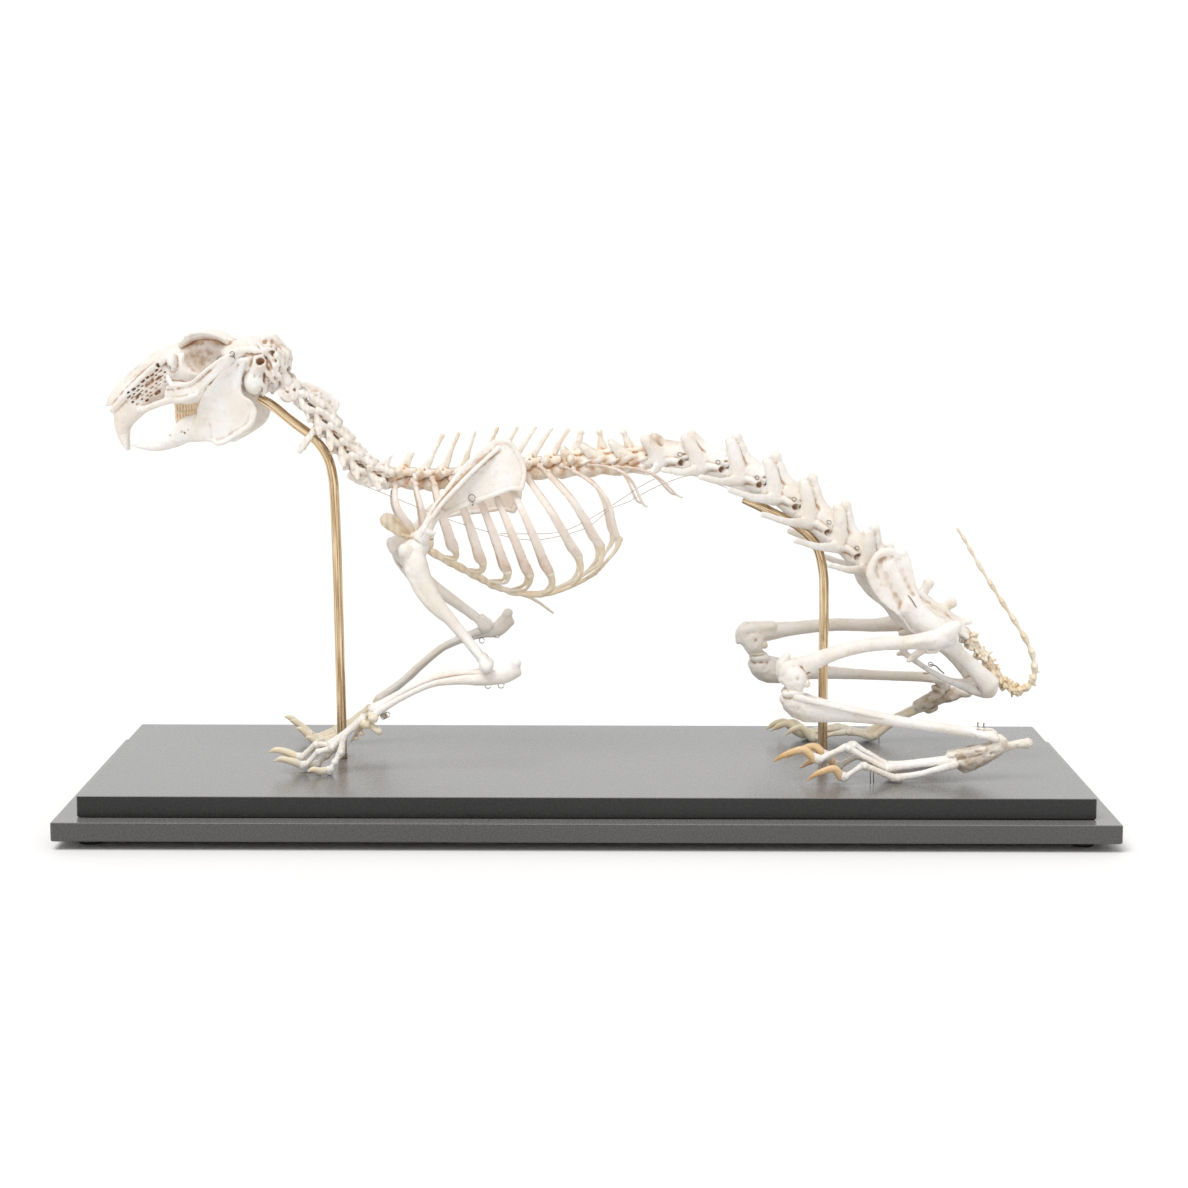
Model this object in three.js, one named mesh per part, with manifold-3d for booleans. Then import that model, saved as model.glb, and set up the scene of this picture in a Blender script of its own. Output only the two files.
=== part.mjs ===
// Mounted rabbit skeleton on a two-step base, modelled life-size in millimetres.
// The origin is under the middle of the base, at the level its rubber feet stand on.
// The head points to -X, the tail to +X, the animal's left side to -Y and up is +Z.
import * as THREE from 'three';
import Module from 'manifold-3d';
import { mergeVertices } from 'three/addons/utils/BufferGeometryUtils.js';

const wasm = await Module();
wasm.setup();

// Driving dimensions
const GAP = 0.3;
const BASE_LENGTH = 500;
const BASE_DEPTH = 200;
const LOWER_THICKNESS = 9;
const UPPER_THICKNESS = 10.3;
const STEP_WIDTH = 10.5;
const FOOT_HEIGHT = 4;
const FOOT_RADIUS = 6;
const FOOT_INSET = 16;
const ROD_RADIUS = 2.4;
const ROD_SIDES = 8;
const UPPER_BOTTOM = FOOT_HEIGHT + LOWER_THICKNESS + GAP;
const GROUND = FOOT_HEIGHT + LOWER_THICKNESS + UPPER_THICKNESS;

// Finishes
const BONE = { color: 0xece4d6, roughness: 0.62, metalness: 0 };
const STAINED_BONE = { color: 0xdcc7a6, roughness: 0.68, metalness: 0 };
const SLAB = { color: 0x8f8f92, roughness: 0.42, metalness: 0 };
const RUBBER = { color: 0x1c1c1d, roughness: 0.8, metalness: 0 };
const BRASS = { color: 0xc9a878, roughness: 0.32, metalness: 0.9 };

// Points and small sums
const at = (x, y, z) => new THREE.Vector3(x, y, z);
const mix = (a, b, t) => a + (b - a) * t;
const between = (p, q, t) => p.clone().lerp(q, t);
const along = (p, direction, distance) => p.clone().addScaledVector(direction, distance);
const LEFT = at(0, -1, 0);
const UP = at(0, 0, 1);
const SIDES = [{ name: 'left', sign: -1 }, { name: 'right', sign: 1 }];

// A round-ended limb along a curve: each half-width is one number, or [across, deep].
function limb(path, widths, { sides = 6, rings = path.length * 2 - 1, wide = LEFT, cap = 0.5 } = {}) {
  return (grow = 0) => {
    const curve = new THREE.CatmullRomCurve3(path, false, 'centripetal');
    const shape = new THREE.SphereGeometry(1, sides, rings + 1);
    const points = shape.attributes.position;
    const steps = widths.map((w) => (Array.isArray(w) ? w : [w, w]));
    for (let row = 0; row <= rings + 1; row += 1) {
      const t = THREE.MathUtils.clamp((row - 1) / (rings - 1), 0, 1);
      const place = Math.min(t * (steps.length - 1), steps.length - 1.0001);
      const [from, to] = [steps[Math.floor(place)], steps[Math.floor(place) + 1]];
      const across = mix(from[0], to[0], place % 1) + grow;
      const deep = mix(from[1], to[1], place % 1) + grow;
      const tangent = curve.getTangent(t);
      const axisA = wide.clone().addScaledVector(tangent, -wide.dot(tangent)).normalize();
      const axisB = new THREE.Vector3().crossVectors(tangent, axisA);
      const end = row === 0 ? -1 : row === rings + 1 ? 1 : 0;
      const centre = along(curve.getPoint(t), tangent, end * cap * Math.min(across, deep));
      for (let col = 0; col <= sides; col += 1) {
        const angle = (col % sides) / sides * Math.PI * 2;
        const size = end === 0 ? 1 : 0;
        const vertex = centre.clone()
          .addScaledVector(axisA, -Math.cos(angle) * across * size)
          .addScaledVector(axisB, Math.sin(angle) * deep * size);
        points.setXYZ(row * (sides + 1) + col, vertex.x, vertex.y, vertex.z);
      }
    }
    return shape;
  };
}

// A knob: a small ellipsoid.
function knob(centre, radii, { sides = 8, rings = 5 } = {}) {
  const [rx, ry, rz] = Array.isArray(radii) ? radii : [radii, radii, radii];
  return (grow = 0) => {
    const shape = new THREE.SphereGeometry(1, sides, rings);
    shape.rotateX(Math.PI / 2);
    shape.scale(rx + grow, ry + grow, rz + grow);
    shape.translate(centre.x, centre.y, centre.z);
    return shape;
  };
}

// A blade of bone: an outline of [x, z] corners, as thick as said, whose middle lies at y = depthAt(x, z).
function blade(outline, depthAt, thickness) {
  return (grow = 0) => {
    const middle = outline.reduce((sum, [x, z]) => [sum[0] + x, sum[1] + z], [0, 0])
      .map((value) => value / outline.length);
    const corners = outline.map(([x, z]) => {
      const reach = Math.hypot(x - middle[0], z - middle[1]);
      const scale = (reach + grow) / reach;
      return new THREE.Vector2(mix(middle[0], x, scale), mix(middle[1], z, scale));
    });
    const depth = thickness + grow * 2;
    const shape = new THREE.ExtrudeGeometry(new THREE.Shape(corners), { depth, bevelEnabled: false });
    const points = shape.attributes.position;
    for (let i = 0; i < points.count; i += 1) {
      const [x, z] = [points.getX(i), points.getY(i)];
      points.setXYZ(i, x, depthAt(x, z) - (points.getZ(i) - depth / 2), z);
    }
    return shape;
  };
}

// Joining and cutting
function solidOf(shape) {
  const bare = shape.clone();
  bare.deleteAttribute('normal');
  bare.deleteAttribute('uv');
  const merged = mergeVertices(bare, 1e-4);
  return new wasm.Manifold(new wasm.Mesh({
    numProp: 3,
    vertProperties: new Float32Array(merged.attributes.position.array),
    triVerts: new Uint32Array(merged.index.array),
  }));
}

function joined(pieces, grow = 0) {
  return pieces.map((piece) => solidOf(piece(grow))).reduce((sum, solid) => sum.add(solid));
}

function largest(solid) {
  return solid.decompose().reduce((best, part) => (part.volume() > best.volume() ? part : best));
}

const group = new THREE.Group();
const nodes = {};

function addMesh(name, shape, finish) {
  const mesh = new THREE.Mesh(shape, new THREE.MeshStandardMaterial(finish));
  mesh.name = name;
  group.add(mesh);
}

// A node is its pieces fused into one, cut clear of the nodes it meets by the gap.
function addBone(name, pieces, { clearOf = [], cuts = [], finish = BONE } = {}) {
  nodes[name] = pieces;
  let solid = joined(pieces);
  for (const cut of cuts) solid = solid.subtract(solidOf(cut()));
  for (const other of clearOf) solid = solid.subtract(joined(nodes[other], GAP));
  const { vertProperties, triVerts } = largest(solid).getMesh();
  const shape = new THREE.BufferGeometry();
  shape.setAttribute('position', new THREE.BufferAttribute(vertProperties, 3));
  shape.setIndex(new THREE.BufferAttribute(triVerts, 1));
  shape.computeVertexNormals();
  addMesh(name, shape, finish);
}

// Base: a lower slab, a narrower slab on it, and four rubber feet
function addBase() {
  const lower = new THREE.BoxGeometry(BASE_LENGTH, BASE_DEPTH, LOWER_THICKNESS);
  lower.translate(0, 0, FOOT_HEIGHT + LOWER_THICKNESS / 2);
  addMesh('stand_base_lower', lower, SLAB);
  const height = GROUND - UPPER_BOTTOM;
  const upper = new THREE.BoxGeometry(BASE_LENGTH - 2 * STEP_WIDTH, BASE_DEPTH - 2 * STEP_WIDTH, height);
  upper.translate(0, 0, UPPER_BOTTOM + height / 2);
  addMesh('stand_base_upper', upper, SLAB);
  let count = 0;
  for (const signX of [-1, 1]) {
    for (const signY of [-1, 1]) {
      const foot = new THREE.CylinderGeometry(FOOT_RADIUS, FOOT_RADIUS, FOOT_HEIGHT - GAP, 16);
      foot.rotateX(Math.PI / 2);
      foot.translate(
        signX * (BASE_LENGTH / 2 - FOOT_INSET),
        signY * (BASE_DEPTH / 2 - FOOT_INSET),
        (FOOT_HEIGHT - GAP) / 2,
      );
      count += 1;
      addMesh(`stand_foot_${count}`, foot, RUBBER);
    }
  }
}

// Brass rods: each rises from the base and bends along the underside of the spine it carries.
const FRONT_ROD = [
  at(-123, 0, GROUND + GAP), at(-123.5, 0, 60), at(-125.4, 0, 151), at(-126.4, 0, 166), at(-129, 0, 175.5),
  at(-135.5, 0, 184.5), at(-147, 0, 193.5), at(-157, 0, 201.5), at(-162.5, 0, 204.5),
];
const REAR_ROD = [
  at(118.5, 0, GROUND + GAP), at(118, 0, 60), at(117.9, 0, 104), at(117.2, 0, 119), at(113.5, 0, 132),
  at(105, 0, 141), at(95, 0, 146.5), at(84.5, 0, 151.7), at(77, 0, 154.9),
];

function rodPiece(path) {
  return limb(path, path.map(() => ROD_RADIUS), { sides: ROD_SIDES, rings: 11, cap: 0 });
}

// Backbone: one curve through the vertebral bodies, with each vertebra at its own place along it.
const NECK = [
  [-147, 206.8], [-138.2, 200.9], [-131.2, 192.8], [-125.3, 185], [-119.5, 177.4], [-113.6, 170.8], [-104, 165.5],
];
const CHEST = [
  [-92, 163.4], [-81.5, 162.6], [-72, 162.8], [-62.5, 163], [-53, 163.6], [-45, 164.8],
  [-37.5, 166.3], [-28.5, 168], [-18.5, 169], [-6.5, 169.8], [7.5, 170.6], [21.5, 171.4],
];
const LOINS = [[37.5, 171.3], [57.5, 168.8], [76, 163], [94, 153.4], [110.5, 141.5], [125.5, 129.5], [139.5, 118.5]];
const SACRUM = [[154.5, 109], [170.5, 99.5], [185.5, 89.5]];
const TAIL_BASE = [
  [190.5, 85.5], [195, 80], [199, 75], [203.5, 69], [208.5, 63.5], [213.5, 59.5],
];
const TAIL_TIP = [
  [218.2, 58.6], [222, 61.5], [223.8, 66.5], [223.4, 74], [219.2, 84], [212.8, 94.5], [206.4, 103], [200.6, 111.5],
  [195, 121], [190.2, 129.5], [182.5, 141],
];

const middles = (places) => places.map(([x, z]) => at(x, 0, z));

function spineDirection(places, index) {
  const before = places[Math.max(index - 1, 0)];
  const after = places[Math.min(index + 1, places.length - 1)];
  return at(after[0] - before[0], 0, after[1] - before[1]).normalize();
}

// A row of bodies: the tube swells at each joint between two vertebrae and is waisted at each middle.
function column(places, first, last, halfWidth, halfHeight) {
  const path = [];
  const widths = [];
  const waist = 0.84;
  const centres = middles(places);
  path.push(along(centres[0], spineDirection(places, 0), -centres[0].distanceTo(centres[1]) * first));
  widths.push([halfWidth(0), halfHeight(0)]);
  for (let i = 0; i < centres.length; i += 1) {
    path.push(centres[i]);
    widths.push([halfWidth(i) * waist, halfHeight(i) * waist]);
    if (i < centres.length - 1) {
      path.push(between(centres[i], centres[i + 1], 0.5));
      widths.push([halfWidth(i + 0.5), halfHeight(i + 0.5)]);
    }
  }
  const end = centres.length - 1;
  path.push(along(centres[end], spineDirection(places, end), centres[end].distanceTo(centres[end - 1]) * last));
  widths.push([halfWidth(end), halfHeight(end)]);
  return limb(path, widths, { sides: 6, rings: path.length, cap: 0.15 });
}

function frameAt(places, index) {
  const forward = spineDirection(places, index).negate();
  const up = new THREE.Vector3().crossVectors(at(0, 1, 0), forward).negate();
  if (up.z < 0) up.negate();
  return { centre: middles(places)[index], forward, up };
}

// A process: a tapered prong from a vertebra, given forward, outward and upward from its centre.
function prong(frame, sign, root, tip, widths, { wide = LEFT, sides = 4, rings = 2 } = {}) {
  const place = ([forward, out, up]) => along(along(frame.centre, frame.forward, forward), frame.up, up)
    .add(at(0, sign * out, 0));
  return limb([place(root), place(tip)], widths, { wide, sides, rings });
}

const SLIM = { sides: 4, rings: 2 };

// A pair of processes as one piece, from tip to tip through the vertebra.
function crossbar(frame, middle, tip, widths) {
  const place = ([forward, out, up], sign) => along(along(frame.centre, frame.forward, forward), frame.up, up)
    .add(at(0, sign * out, 0));
  const path = [place(tip, -1), place(middle, 0), place(tip, 1)];
  return limb(path, [widths[1], widths[0], widths[1]], { wide: UP, sides: 4, rings: 3 });
}

function addNeck() {
  const pieces = [column(NECK, 0.45, 0.45, () => 4.6, () => 4.3)];
  const atlas = frameAt(NECK, 0);
  pieces.push(limb([at(-147, -14, 204.5), at(-147, -5, 206), at(-147, 5, 206), at(-147, 14, 204.5)],
    [[4, 1.3], [6, 6], [6, 6], [4, 1.3]], { wide: atlas.forward, rings: 6, cap: 0.3 }));
  const crest = [[-143.5, 204], [-142, 211.5], [-137.5, 212], [-131, 208.5], [-126.5, 204.5], [-124, 200],
    [-129, 198.5], [-134, 197]];
  pieces.push(blade(crest, () => 0, 1.6));
  for (let i = 2; i < NECK.length; i += 1) {
    const frame = frameAt(NECK, i);
    const spineHeight = i === NECK.length - 1 ? 12 : 6.5;
    pieces.push(prong(frame, 0, [-0.5, 0, 2], [-1.5, 0, spineHeight], [[1.6, 2.4], [0.8, 1.2]]));
    pieces.push(crossbar(frame, [0, 0, 1], [-3.5, 6.5, 4], [[2.6, 3.2], [1.6, 2]]));
    pieces.push(crossbar(frame, [0, 0, -1], [-3, 9.5, -3.5], [[2, 3], [1, 1.8]]));
  }
  for (const { sign } of SIDES) {
    pieces.push(limb([at(-133, sign * 3, 191.5), at(-142.3, sign * 9, 178.5)], [[1.1, 2.6], [0.8, 1.6]], SLIM));
    pieces.push(limb([at(-110.5, sign * 3.5, 168), at(-109.5, sign * 5.5, 162)], [[1.2, 4.4], [0.9, 5.4]], SLIM));
  }
  addBone('cervical_spine', pieces, { clearOf: ['stand_rod_front', 'skull'] });
}

// Chest vertebrae: the spine tips are given as [x, z]; the last two floating ribs are rooted here.
const CHEST_TIPS = [
  [-87, 178.5], [-71.5, 187], [-63.5, 188], [-55.5, 188.5], [-44.5, 190.5], [-34.5, 190.8],
  [-25.5, 190.8], [-17.5, 190.3], [-9.5, 189.8], [-3, 189.3], [5.5, 189.5], [17, 189.3],
];

function addChestSpine() {
  const pieces = [column(CHEST, 0.4, 0.44, (i) => mix(4.4, 5.4, i / 11), (i) => mix(4.2, 5, i / 11))];
  CHEST.forEach(([x, z], i) => {
    const frame = frameAt(CHEST, i);
    const tip = at(CHEST_TIPS[i][0], 0, CHEST_TIPS[i][1]);
    const broad = i < 9 ? 1.3 : 2.6;
    const root = at(Math.min(x + 1, tip.x), 0, z + 3);
    pieces.push(limb([root, tip], [[1, broad + 0.9], [0.7, broad]], SLIM));
    if (i < 9) {
      pieces.push(crossbar(frame, [1, 0, 2.5], [0, 7.5, 5.5], [2.6, 1.5]));
    } else {
      for (const { sign } of SIDES) pieces.push(prong(frame, sign, [1, 2.5, 3], [4.5, 4.5, 9.5], [2.4, 1.5]));
    }
  });
  for (const rib of RIBS.slice(10)) {
    for (const { sign } of SIDES) pieces.push(ribPiece(rib, sign));
  }
  addBone('thoracic_spine', pieces, { clearOf: ['cervical_spine'], finish: STAINED_BONE });
}

const LOIN_TIPS = [[31.2, 187.3], [49.5, 188.6], [72.5, 187.8], [92, 178.8], [110.5, 168], [127.5, 154.5], [142.2, 143]];
// How far forward, outward and downward each loin vertebra's side process reaches
const LOIN_REACH = [[9, 12, 3], [14, 15, 4.5], [17, 18, 5.5], [19, 20, 6.5], [20, 20, 7], [19, 18, 7], [15, 15, 6]];

function addLoins() {
  const pieces = [column(LOINS, 0.4, 0.42, () => 6.2, () => 5.8)];
  LOINS.forEach(([x, z], i) => {
    const frame = frameAt(LOINS, i);
    const tip = at(LOIN_TIPS[i][0], 0, LOIN_TIPS[i][1]);
    pieces.push(limb([at(x, 0, z + 3), tip], [[1.6, 7], [1.3, 3.4]], SLIM));
    for (const { sign } of SIDES) {
      pieces.push(prong(frame, sign, [3, 2.5, 3.5], [11, 4.5, 12.5], [[1.8, 3.2], [1.3, 1.6]]));
    }
    const [forward, outward, down] = LOIN_REACH[i];
    const place = (ahead, out, up) => along(along(frame.centre, frame.forward, ahead), frame.up, up)
      .add(at(0, out, 0));
    const process = [place(forward, -outward, -down), place(forward * 0.55, -outward * 0.75, -down * 0.6),
      place(2, 0, -1.5), place(forward * 0.55, outward * 0.75, -down * 0.6), place(forward, outward, -down)];
    pieces.push(limb(process, [[1, 3.4], [1.1, 3], [1.4, 5], [1.1, 3], [1, 3.4]], { wide: UP, sides: 4, rings: 5 }));
  });
  addBone('lumbar_spine', pieces, { clearOf: ['thoracic_spine', 'stand_rod_rear'] });
}

function addSacrumAndTail() {
  const tips = [[168.5, 114], [181.5, 103], [190, 94]];
  const pieces = [column(SACRUM, 0.45, 0.25, (i) => mix(7, 4, i / 2), (i) => mix(5.2, 3.6, i / 2))];
  SACRUM.forEach(([x, z], i) => {
    pieces.push(limb([at(x + 4, 0, z + 1), at(tips[i][0], 0, tips[i][1])], [[1.6, 4], [1.5, 2]], { rings: 3 }));
  });
  for (const { sign } of SIDES) {
    pieces.push(limb([at(153, sign * 3, 110), at(156, sign * 11, 111)], [[4, 8], [3.4, 6.5]], { wide: UP, rings: 3 }));
  }
  addBone('sacrum', pieces, { clearOf: ['lumbar_spine'] });

  const baseWidths = (i) => mix(3.4, 1.9, i / 5);
  const tail = [column(TAIL_BASE, 0.2, 0.3, baseWidths, baseWidths)];
  TAIL_BASE.forEach((place, i) => {
    const frame = frameAt(TAIL_BASE, i);
    const reach = mix(6.5, 3, i / 5);
    tail.push(prong(frame, 0, [-1, 0, 1], [-2.5, 0, reach], [[1, 2], [0.8, 1.2]]));
    tail.push(crossbar(frame, [0, 0, 0], [-1.5, reach + 1, -0.5], [[1.2, 2.2], [0.8, 1.4]]));
  });
  addBone('tail_base', tail, { clearOf: ['sacrum'], finish: STAINED_BONE });
  const tipWidths = (i) => mix(1.6, 0.75, i / 10);
  addBone('tail_tip', [column(TAIL_TIP, 0.35, 0.1, tipWidths, tipWidths)], { clearOf: ['tail_base'] });
}

// Ribs: head and end in the side view, the widest reach outward, and how far the middle bows backward.
const RIBS = [
  { head: [-95, 162.5], end: [-88, 141], reach: 8, bow: -2.5, half: 1.9 },
  { head: [-86, 164], end: [-79.5, 138.5], reach: 11, bow: 1, half: 1.5 },
  { head: [-76.5, 165], end: [-65.5, 130], reach: 13.5, bow: 0, half: 2.2 },
  { head: [-67, 165], end: [-51.5, 123.5], reach: 15.5, bow: 1, half: 2.2 },
  { head: [-57.5, 165.5], end: [-39, 119], reach: 17.5, bow: 1, half: 2.2 },
  { head: [-49, 166.5], end: [-28, 117.5], reach: 19.5, bow: 0.5, half: 2.2 },
  { head: [-41, 168], end: [-18, 118.5], reach: 21.5, bow: 1, half: 2.2 },
  { head: [-33, 170], end: [-4, 127.5], reach: 23, bow: 1.5, half: 2.2 },
  { head: [-23.5, 171.5], end: [7, 133], reach: 24, bow: 3, half: 2.1 },
  { head: [-12.5, 171.5], end: [16, 136.5], reach: 23, bow: 8, half: 1.8 },
  { head: [0.5, 172], end: [27, 154], reach: 20, bow: 7.5, half: 1.5 },
  { head: [14.5, 171], end: [46.3, 157], reach: 17, bow: 5, half: 1.3 },
];
const HEAD_OUT = 4;
const END_SHARE = 0.75;

// The right side of the chest lies a little further forward and lower than the left.
const RIGHT_SHIFT = [-2.7, -1.4];

function ribPoint({ head, end, reach, bow }, sign, t) {
  const out = t < 0.45 ? mix(HEAD_OUT, reach, Math.sin(t / 0.45 * Math.PI / 2)) : mix(reach, reach * END_SHARE,
    ((t - 0.45) / 0.55) ** 2);
  const arch = Math.sin(Math.PI * Math.min(t * 1.1, 1)) * bow;
  const shift = sign > 0 ? Math.min(t / 0.3, 1) : 0;
  const [runX, runZ] = [end[0] - head[0], end[1] - head[1]];
  const length = Math.hypot(runX, runZ);
  return at(
    mix(head[0], end[0], t) - runZ / length * arch + RIGHT_SHIFT[0] * shift,
    sign * out,
    mix(head[1], end[1], t) + runX / length * arch + RIGHT_SHIFT[1] * shift,
  );
}

// A rib, and after it the gristle through the given points.
function ribPiece(rib, sign, gristle = []) {
  const path = [0, 0.1, 0.28, 0.5, 0.75, 1].map((t) => ribPoint(rib, sign, t));
  const widths = [0.75, 0.7, 0.8, 1, 1, 0.8].map((share) => [share * rib.half, Math.min(share, 0.95) * 0.85]);
  const ends = gristle.map(() => [1, 0.9]);
  return limb([...path, ...gristle], [...widths, ...ends],
    { sides: 4, rings: path.length + gristle.length, wide: at(1, 0, 0.35) });
}

const STERNUM = [[-100, 144], [-91, 136.5], [-78.5, 128.5], [-66, 121.5], [-54.5, 115.5], [-45.5, 110], [-37.5, 108]];
const XIPHOID = [[-33.5, 107], [-21, 100], [-17.5, 97.5]];
// Where the first six ribs' gristle meets the breastbone
const GRISTLE_ENDS = [[-92, 137], [-80, 129.5], [-70.5, 125.5], [-59, 119], [-48, 113.5], [-38.5, 108.8]];
// The gristle arch of the last ribs, and how far along it ribs 7 to 10 join it
const ARCH = [[-37.5, 1.5, 107.5], [-22, 5, 107.3], [-8, 9, 112.3], [4, 13, 119.2]];
const ARCH_SHARES = [0.34, 0.66, 0.85, 1];

function addRibCage({ name, sign }) {
  const arch = ARCH.map(([x, y, z]) => at(x, sign * y, z));
  const archCurve = new THREE.CatmullRomCurve3(arch, false, 'centripetal');
  const pieces = RIBS.slice(0, 10).map((rib, i) => {
    const end = i < 6 ? at(GRISTLE_ENDS[i][0], sign * 1.5, GRISTLE_ENDS[i][1]) : archCurve.getPoint(ARCH_SHARES[i - 6]);
    const bend = between(ribPoint(rib, sign, 1), end, 0.5).add(at(2.4, sign * 1.6, -2.6));
    return ribPiece(rib, sign, i === 9 ? [end] : [bend, end]);
  });
  pieces.push(limb(arch, [1.1, 1.1, 1.1, 1], { sides: 4, rings: 4 }));
  const bone = (places, widths) => limb(places.map(([x, z]) => at(x, 0, z)), widths,
    { sides: 6, rings: places.length });
  pieces.push(bone([...STERNUM, ...XIPHOID], [[1.6, 3.6], [2.6, 3.2], [2.6, 2.2], [3, 2.3], [3, 2.2], [2.8, 2],
    [2, 1.6], [1.4, 1], [1.4, 0.9], [2.4, 1.2]]));
  const otherSide = () => new THREE.BoxGeometry(400, 100, 400).translate(0, -sign * (50 - GAP / 2), 120);
  addBone(`ribs_${name}`, pieces, { clearOf: ['thoracic_spine'], cuts: [otherSide] });
}

// Skull: the outline is given in the side view, and each station of it as [x, z, half-width, half-height].
const HEAD_TURN = THREE.MathUtils.degToRad(7);
const NECK_JOINT = at(-146, 0, 212);

const CRANIUM = [
  [-240, 199, 3, 1.2], [-231.5, 203, 5.5, 7], [-218.5, 210.5, 6.5, 11], [-206.5, 216.5, 8.5, 13],
  [-197, 218.5, 11.5, 13], [-187, 220.5, 9, 12], [-176.5, 221.5, 10.5, 12], [-165, 222.5, 13.2, 13],
  [-156, 222.5, 12, 12.8], [-149.5, 219.5, 8, 9],
];

function skullPieces() {
  const pieces = [
    limb(CRANIUM.map(([x, z]) => at(x, 0, z)), CRANIUM.map((row) => [row[2], row[3]]), { sides: 10, rings: 12 }),
    blade([[-157, 226], [-156.5, 235.8], [-153, 235.2], [-149.8, 230.4], [-145.2, 226.4], [-148, 221]], () => 0, 7),
    limb([at(-150, 0, 214), at(-146.5, 0, 209)], [[4.5, 3.5], [4, 2.6]], { rings: 2 }),
  ];
  for (const { sign } of SIDES) {
    const lid = [[-199.5, 230], [-196, 235], [-190, 237], [-184, 236.8], [-180.5, 234], [-176.5, 231], [-184, 229.5]];
    pieces.push(
      blade(lid, (x, z) => sign * (8.5 + (z - 228) * 0.25), 7),
      limb([at(-206, sign * 9, 206), at(-198, sign * 16, 207.5), at(-188.5, sign * 20, 211), at(-179, sign * 20.5, 218.5),
        at(-172.5, sign * 17, 225), at(-167, sign * 10.5, 227)],
      [[2.4, 4.2], [2, 5.2], [1.5, 4.4], [1.4, 4.2], [1.6, 3.4], 2.5], { sides: 5, rings: 6 }),
      limb([at(-194.5, sign * 9, 208), at(-194, sign * 9, 199)], [[3, 7.5], [2.6, 6.5]], { rings: 2, cap: 0.2 }),
      limb([at(-163, sign * 8, 220), at(-162.5, sign * 10, 214), at(-161.5, sign * 9.5, 209)],
        [[4, 4], [5.4, 5.6], [3.6, 3.6]], { sides: 6, rings: 4 }),
      limb([at(-162, sign * 10, 216), at(-158.5, sign * 13, 223)], [2.6, 2.2], { sides: 5, rings: 2 }),
      limb([at(-156, sign * 8, 215), at(-158.5, sign * 8, 205)], [[1.6, 3], [1, 1.6]], SLIM),
      limb([at(-225, sign * 2.4, 204), at(-231.8, sign * 2.2, 196.5), at(-232.5, sign * 2, 188.5),
        at(-230.4, sign * 1.8, 179)], [[2.2, 5], [2.2, 4.6], [1.8, 3.3], [1.5, 1]], { sides: 5, rings: 4 }),
    );
  }
  return pieces;
}

function orbitCuts() {
  const cuts = [];
  for (const { sign } of SIDES) cuts.push(knob(at(-189, sign * 14.5, 223.5), [12, 12.2, 9], { sides: 10, rings: 6 }));
  return cuts;
}

const turnHead = (piece) => (grow) => {
  const shape = piece(grow);
  shape.translate(-NECK_JOINT.x, -NECK_JOINT.y, -NECK_JOINT.z);
  shape.rotateZ(-HEAD_TURN);
  shape.translate(NECK_JOINT.x, NECK_JOINT.y, NECK_JOINT.z);
  return shape;
};

function jawPieces() {
  const pieces = [];
  for (const { sign } of SIDES) {
    const ramus = [[-195, 183], [-190.3, 197.4], [-187, 204.5], [-184, 209.5], [-174, 221], [-167.5, 221.5],
      [-169.2, 210], [-167.5, 205.5], [-160.3, 200], [-161.3, 194], [-168.5, 186.6], [-179.5, 181.3]];
    pieces.push(
      blade(ramus, (x, z) => sign * (13.5 + (z - 200) * 0.06), 2),
      limb([at(-168.5, sign * 14.5, 219), at(-166.5, sign * 14.5, 223)], [[1.8, 3], [2, 3.5]], { rings: 2 }),
      limb([at(-187, sign * 12.5, 190), at(-196, sign * 10, 189.5), at(-204, sign * 7, 186), at(-212, sign * 3.2, 181.2),
        at(-218, sign * 1.9, 179.6), at(-222.5, sign * 1.6, 179.4), at(-227.2, sign * 1.55, 180.3)],
      [[2, 7.5], [2.8, 8.3], [3, 6.6], [3.6, 3.9], [2.6, 2.6], [1.9, 1.6], [1.2, 0.6]], { rings: 7 }),
      limb([at(-196, sign * 9, 193), at(-195.5, sign * 9.2, 197.4)], [[2.6, 6.8], [2.6, 6.4]], { rings: 2, cap: 0.2 }),
    );
  }
  return pieces;
}

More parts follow.
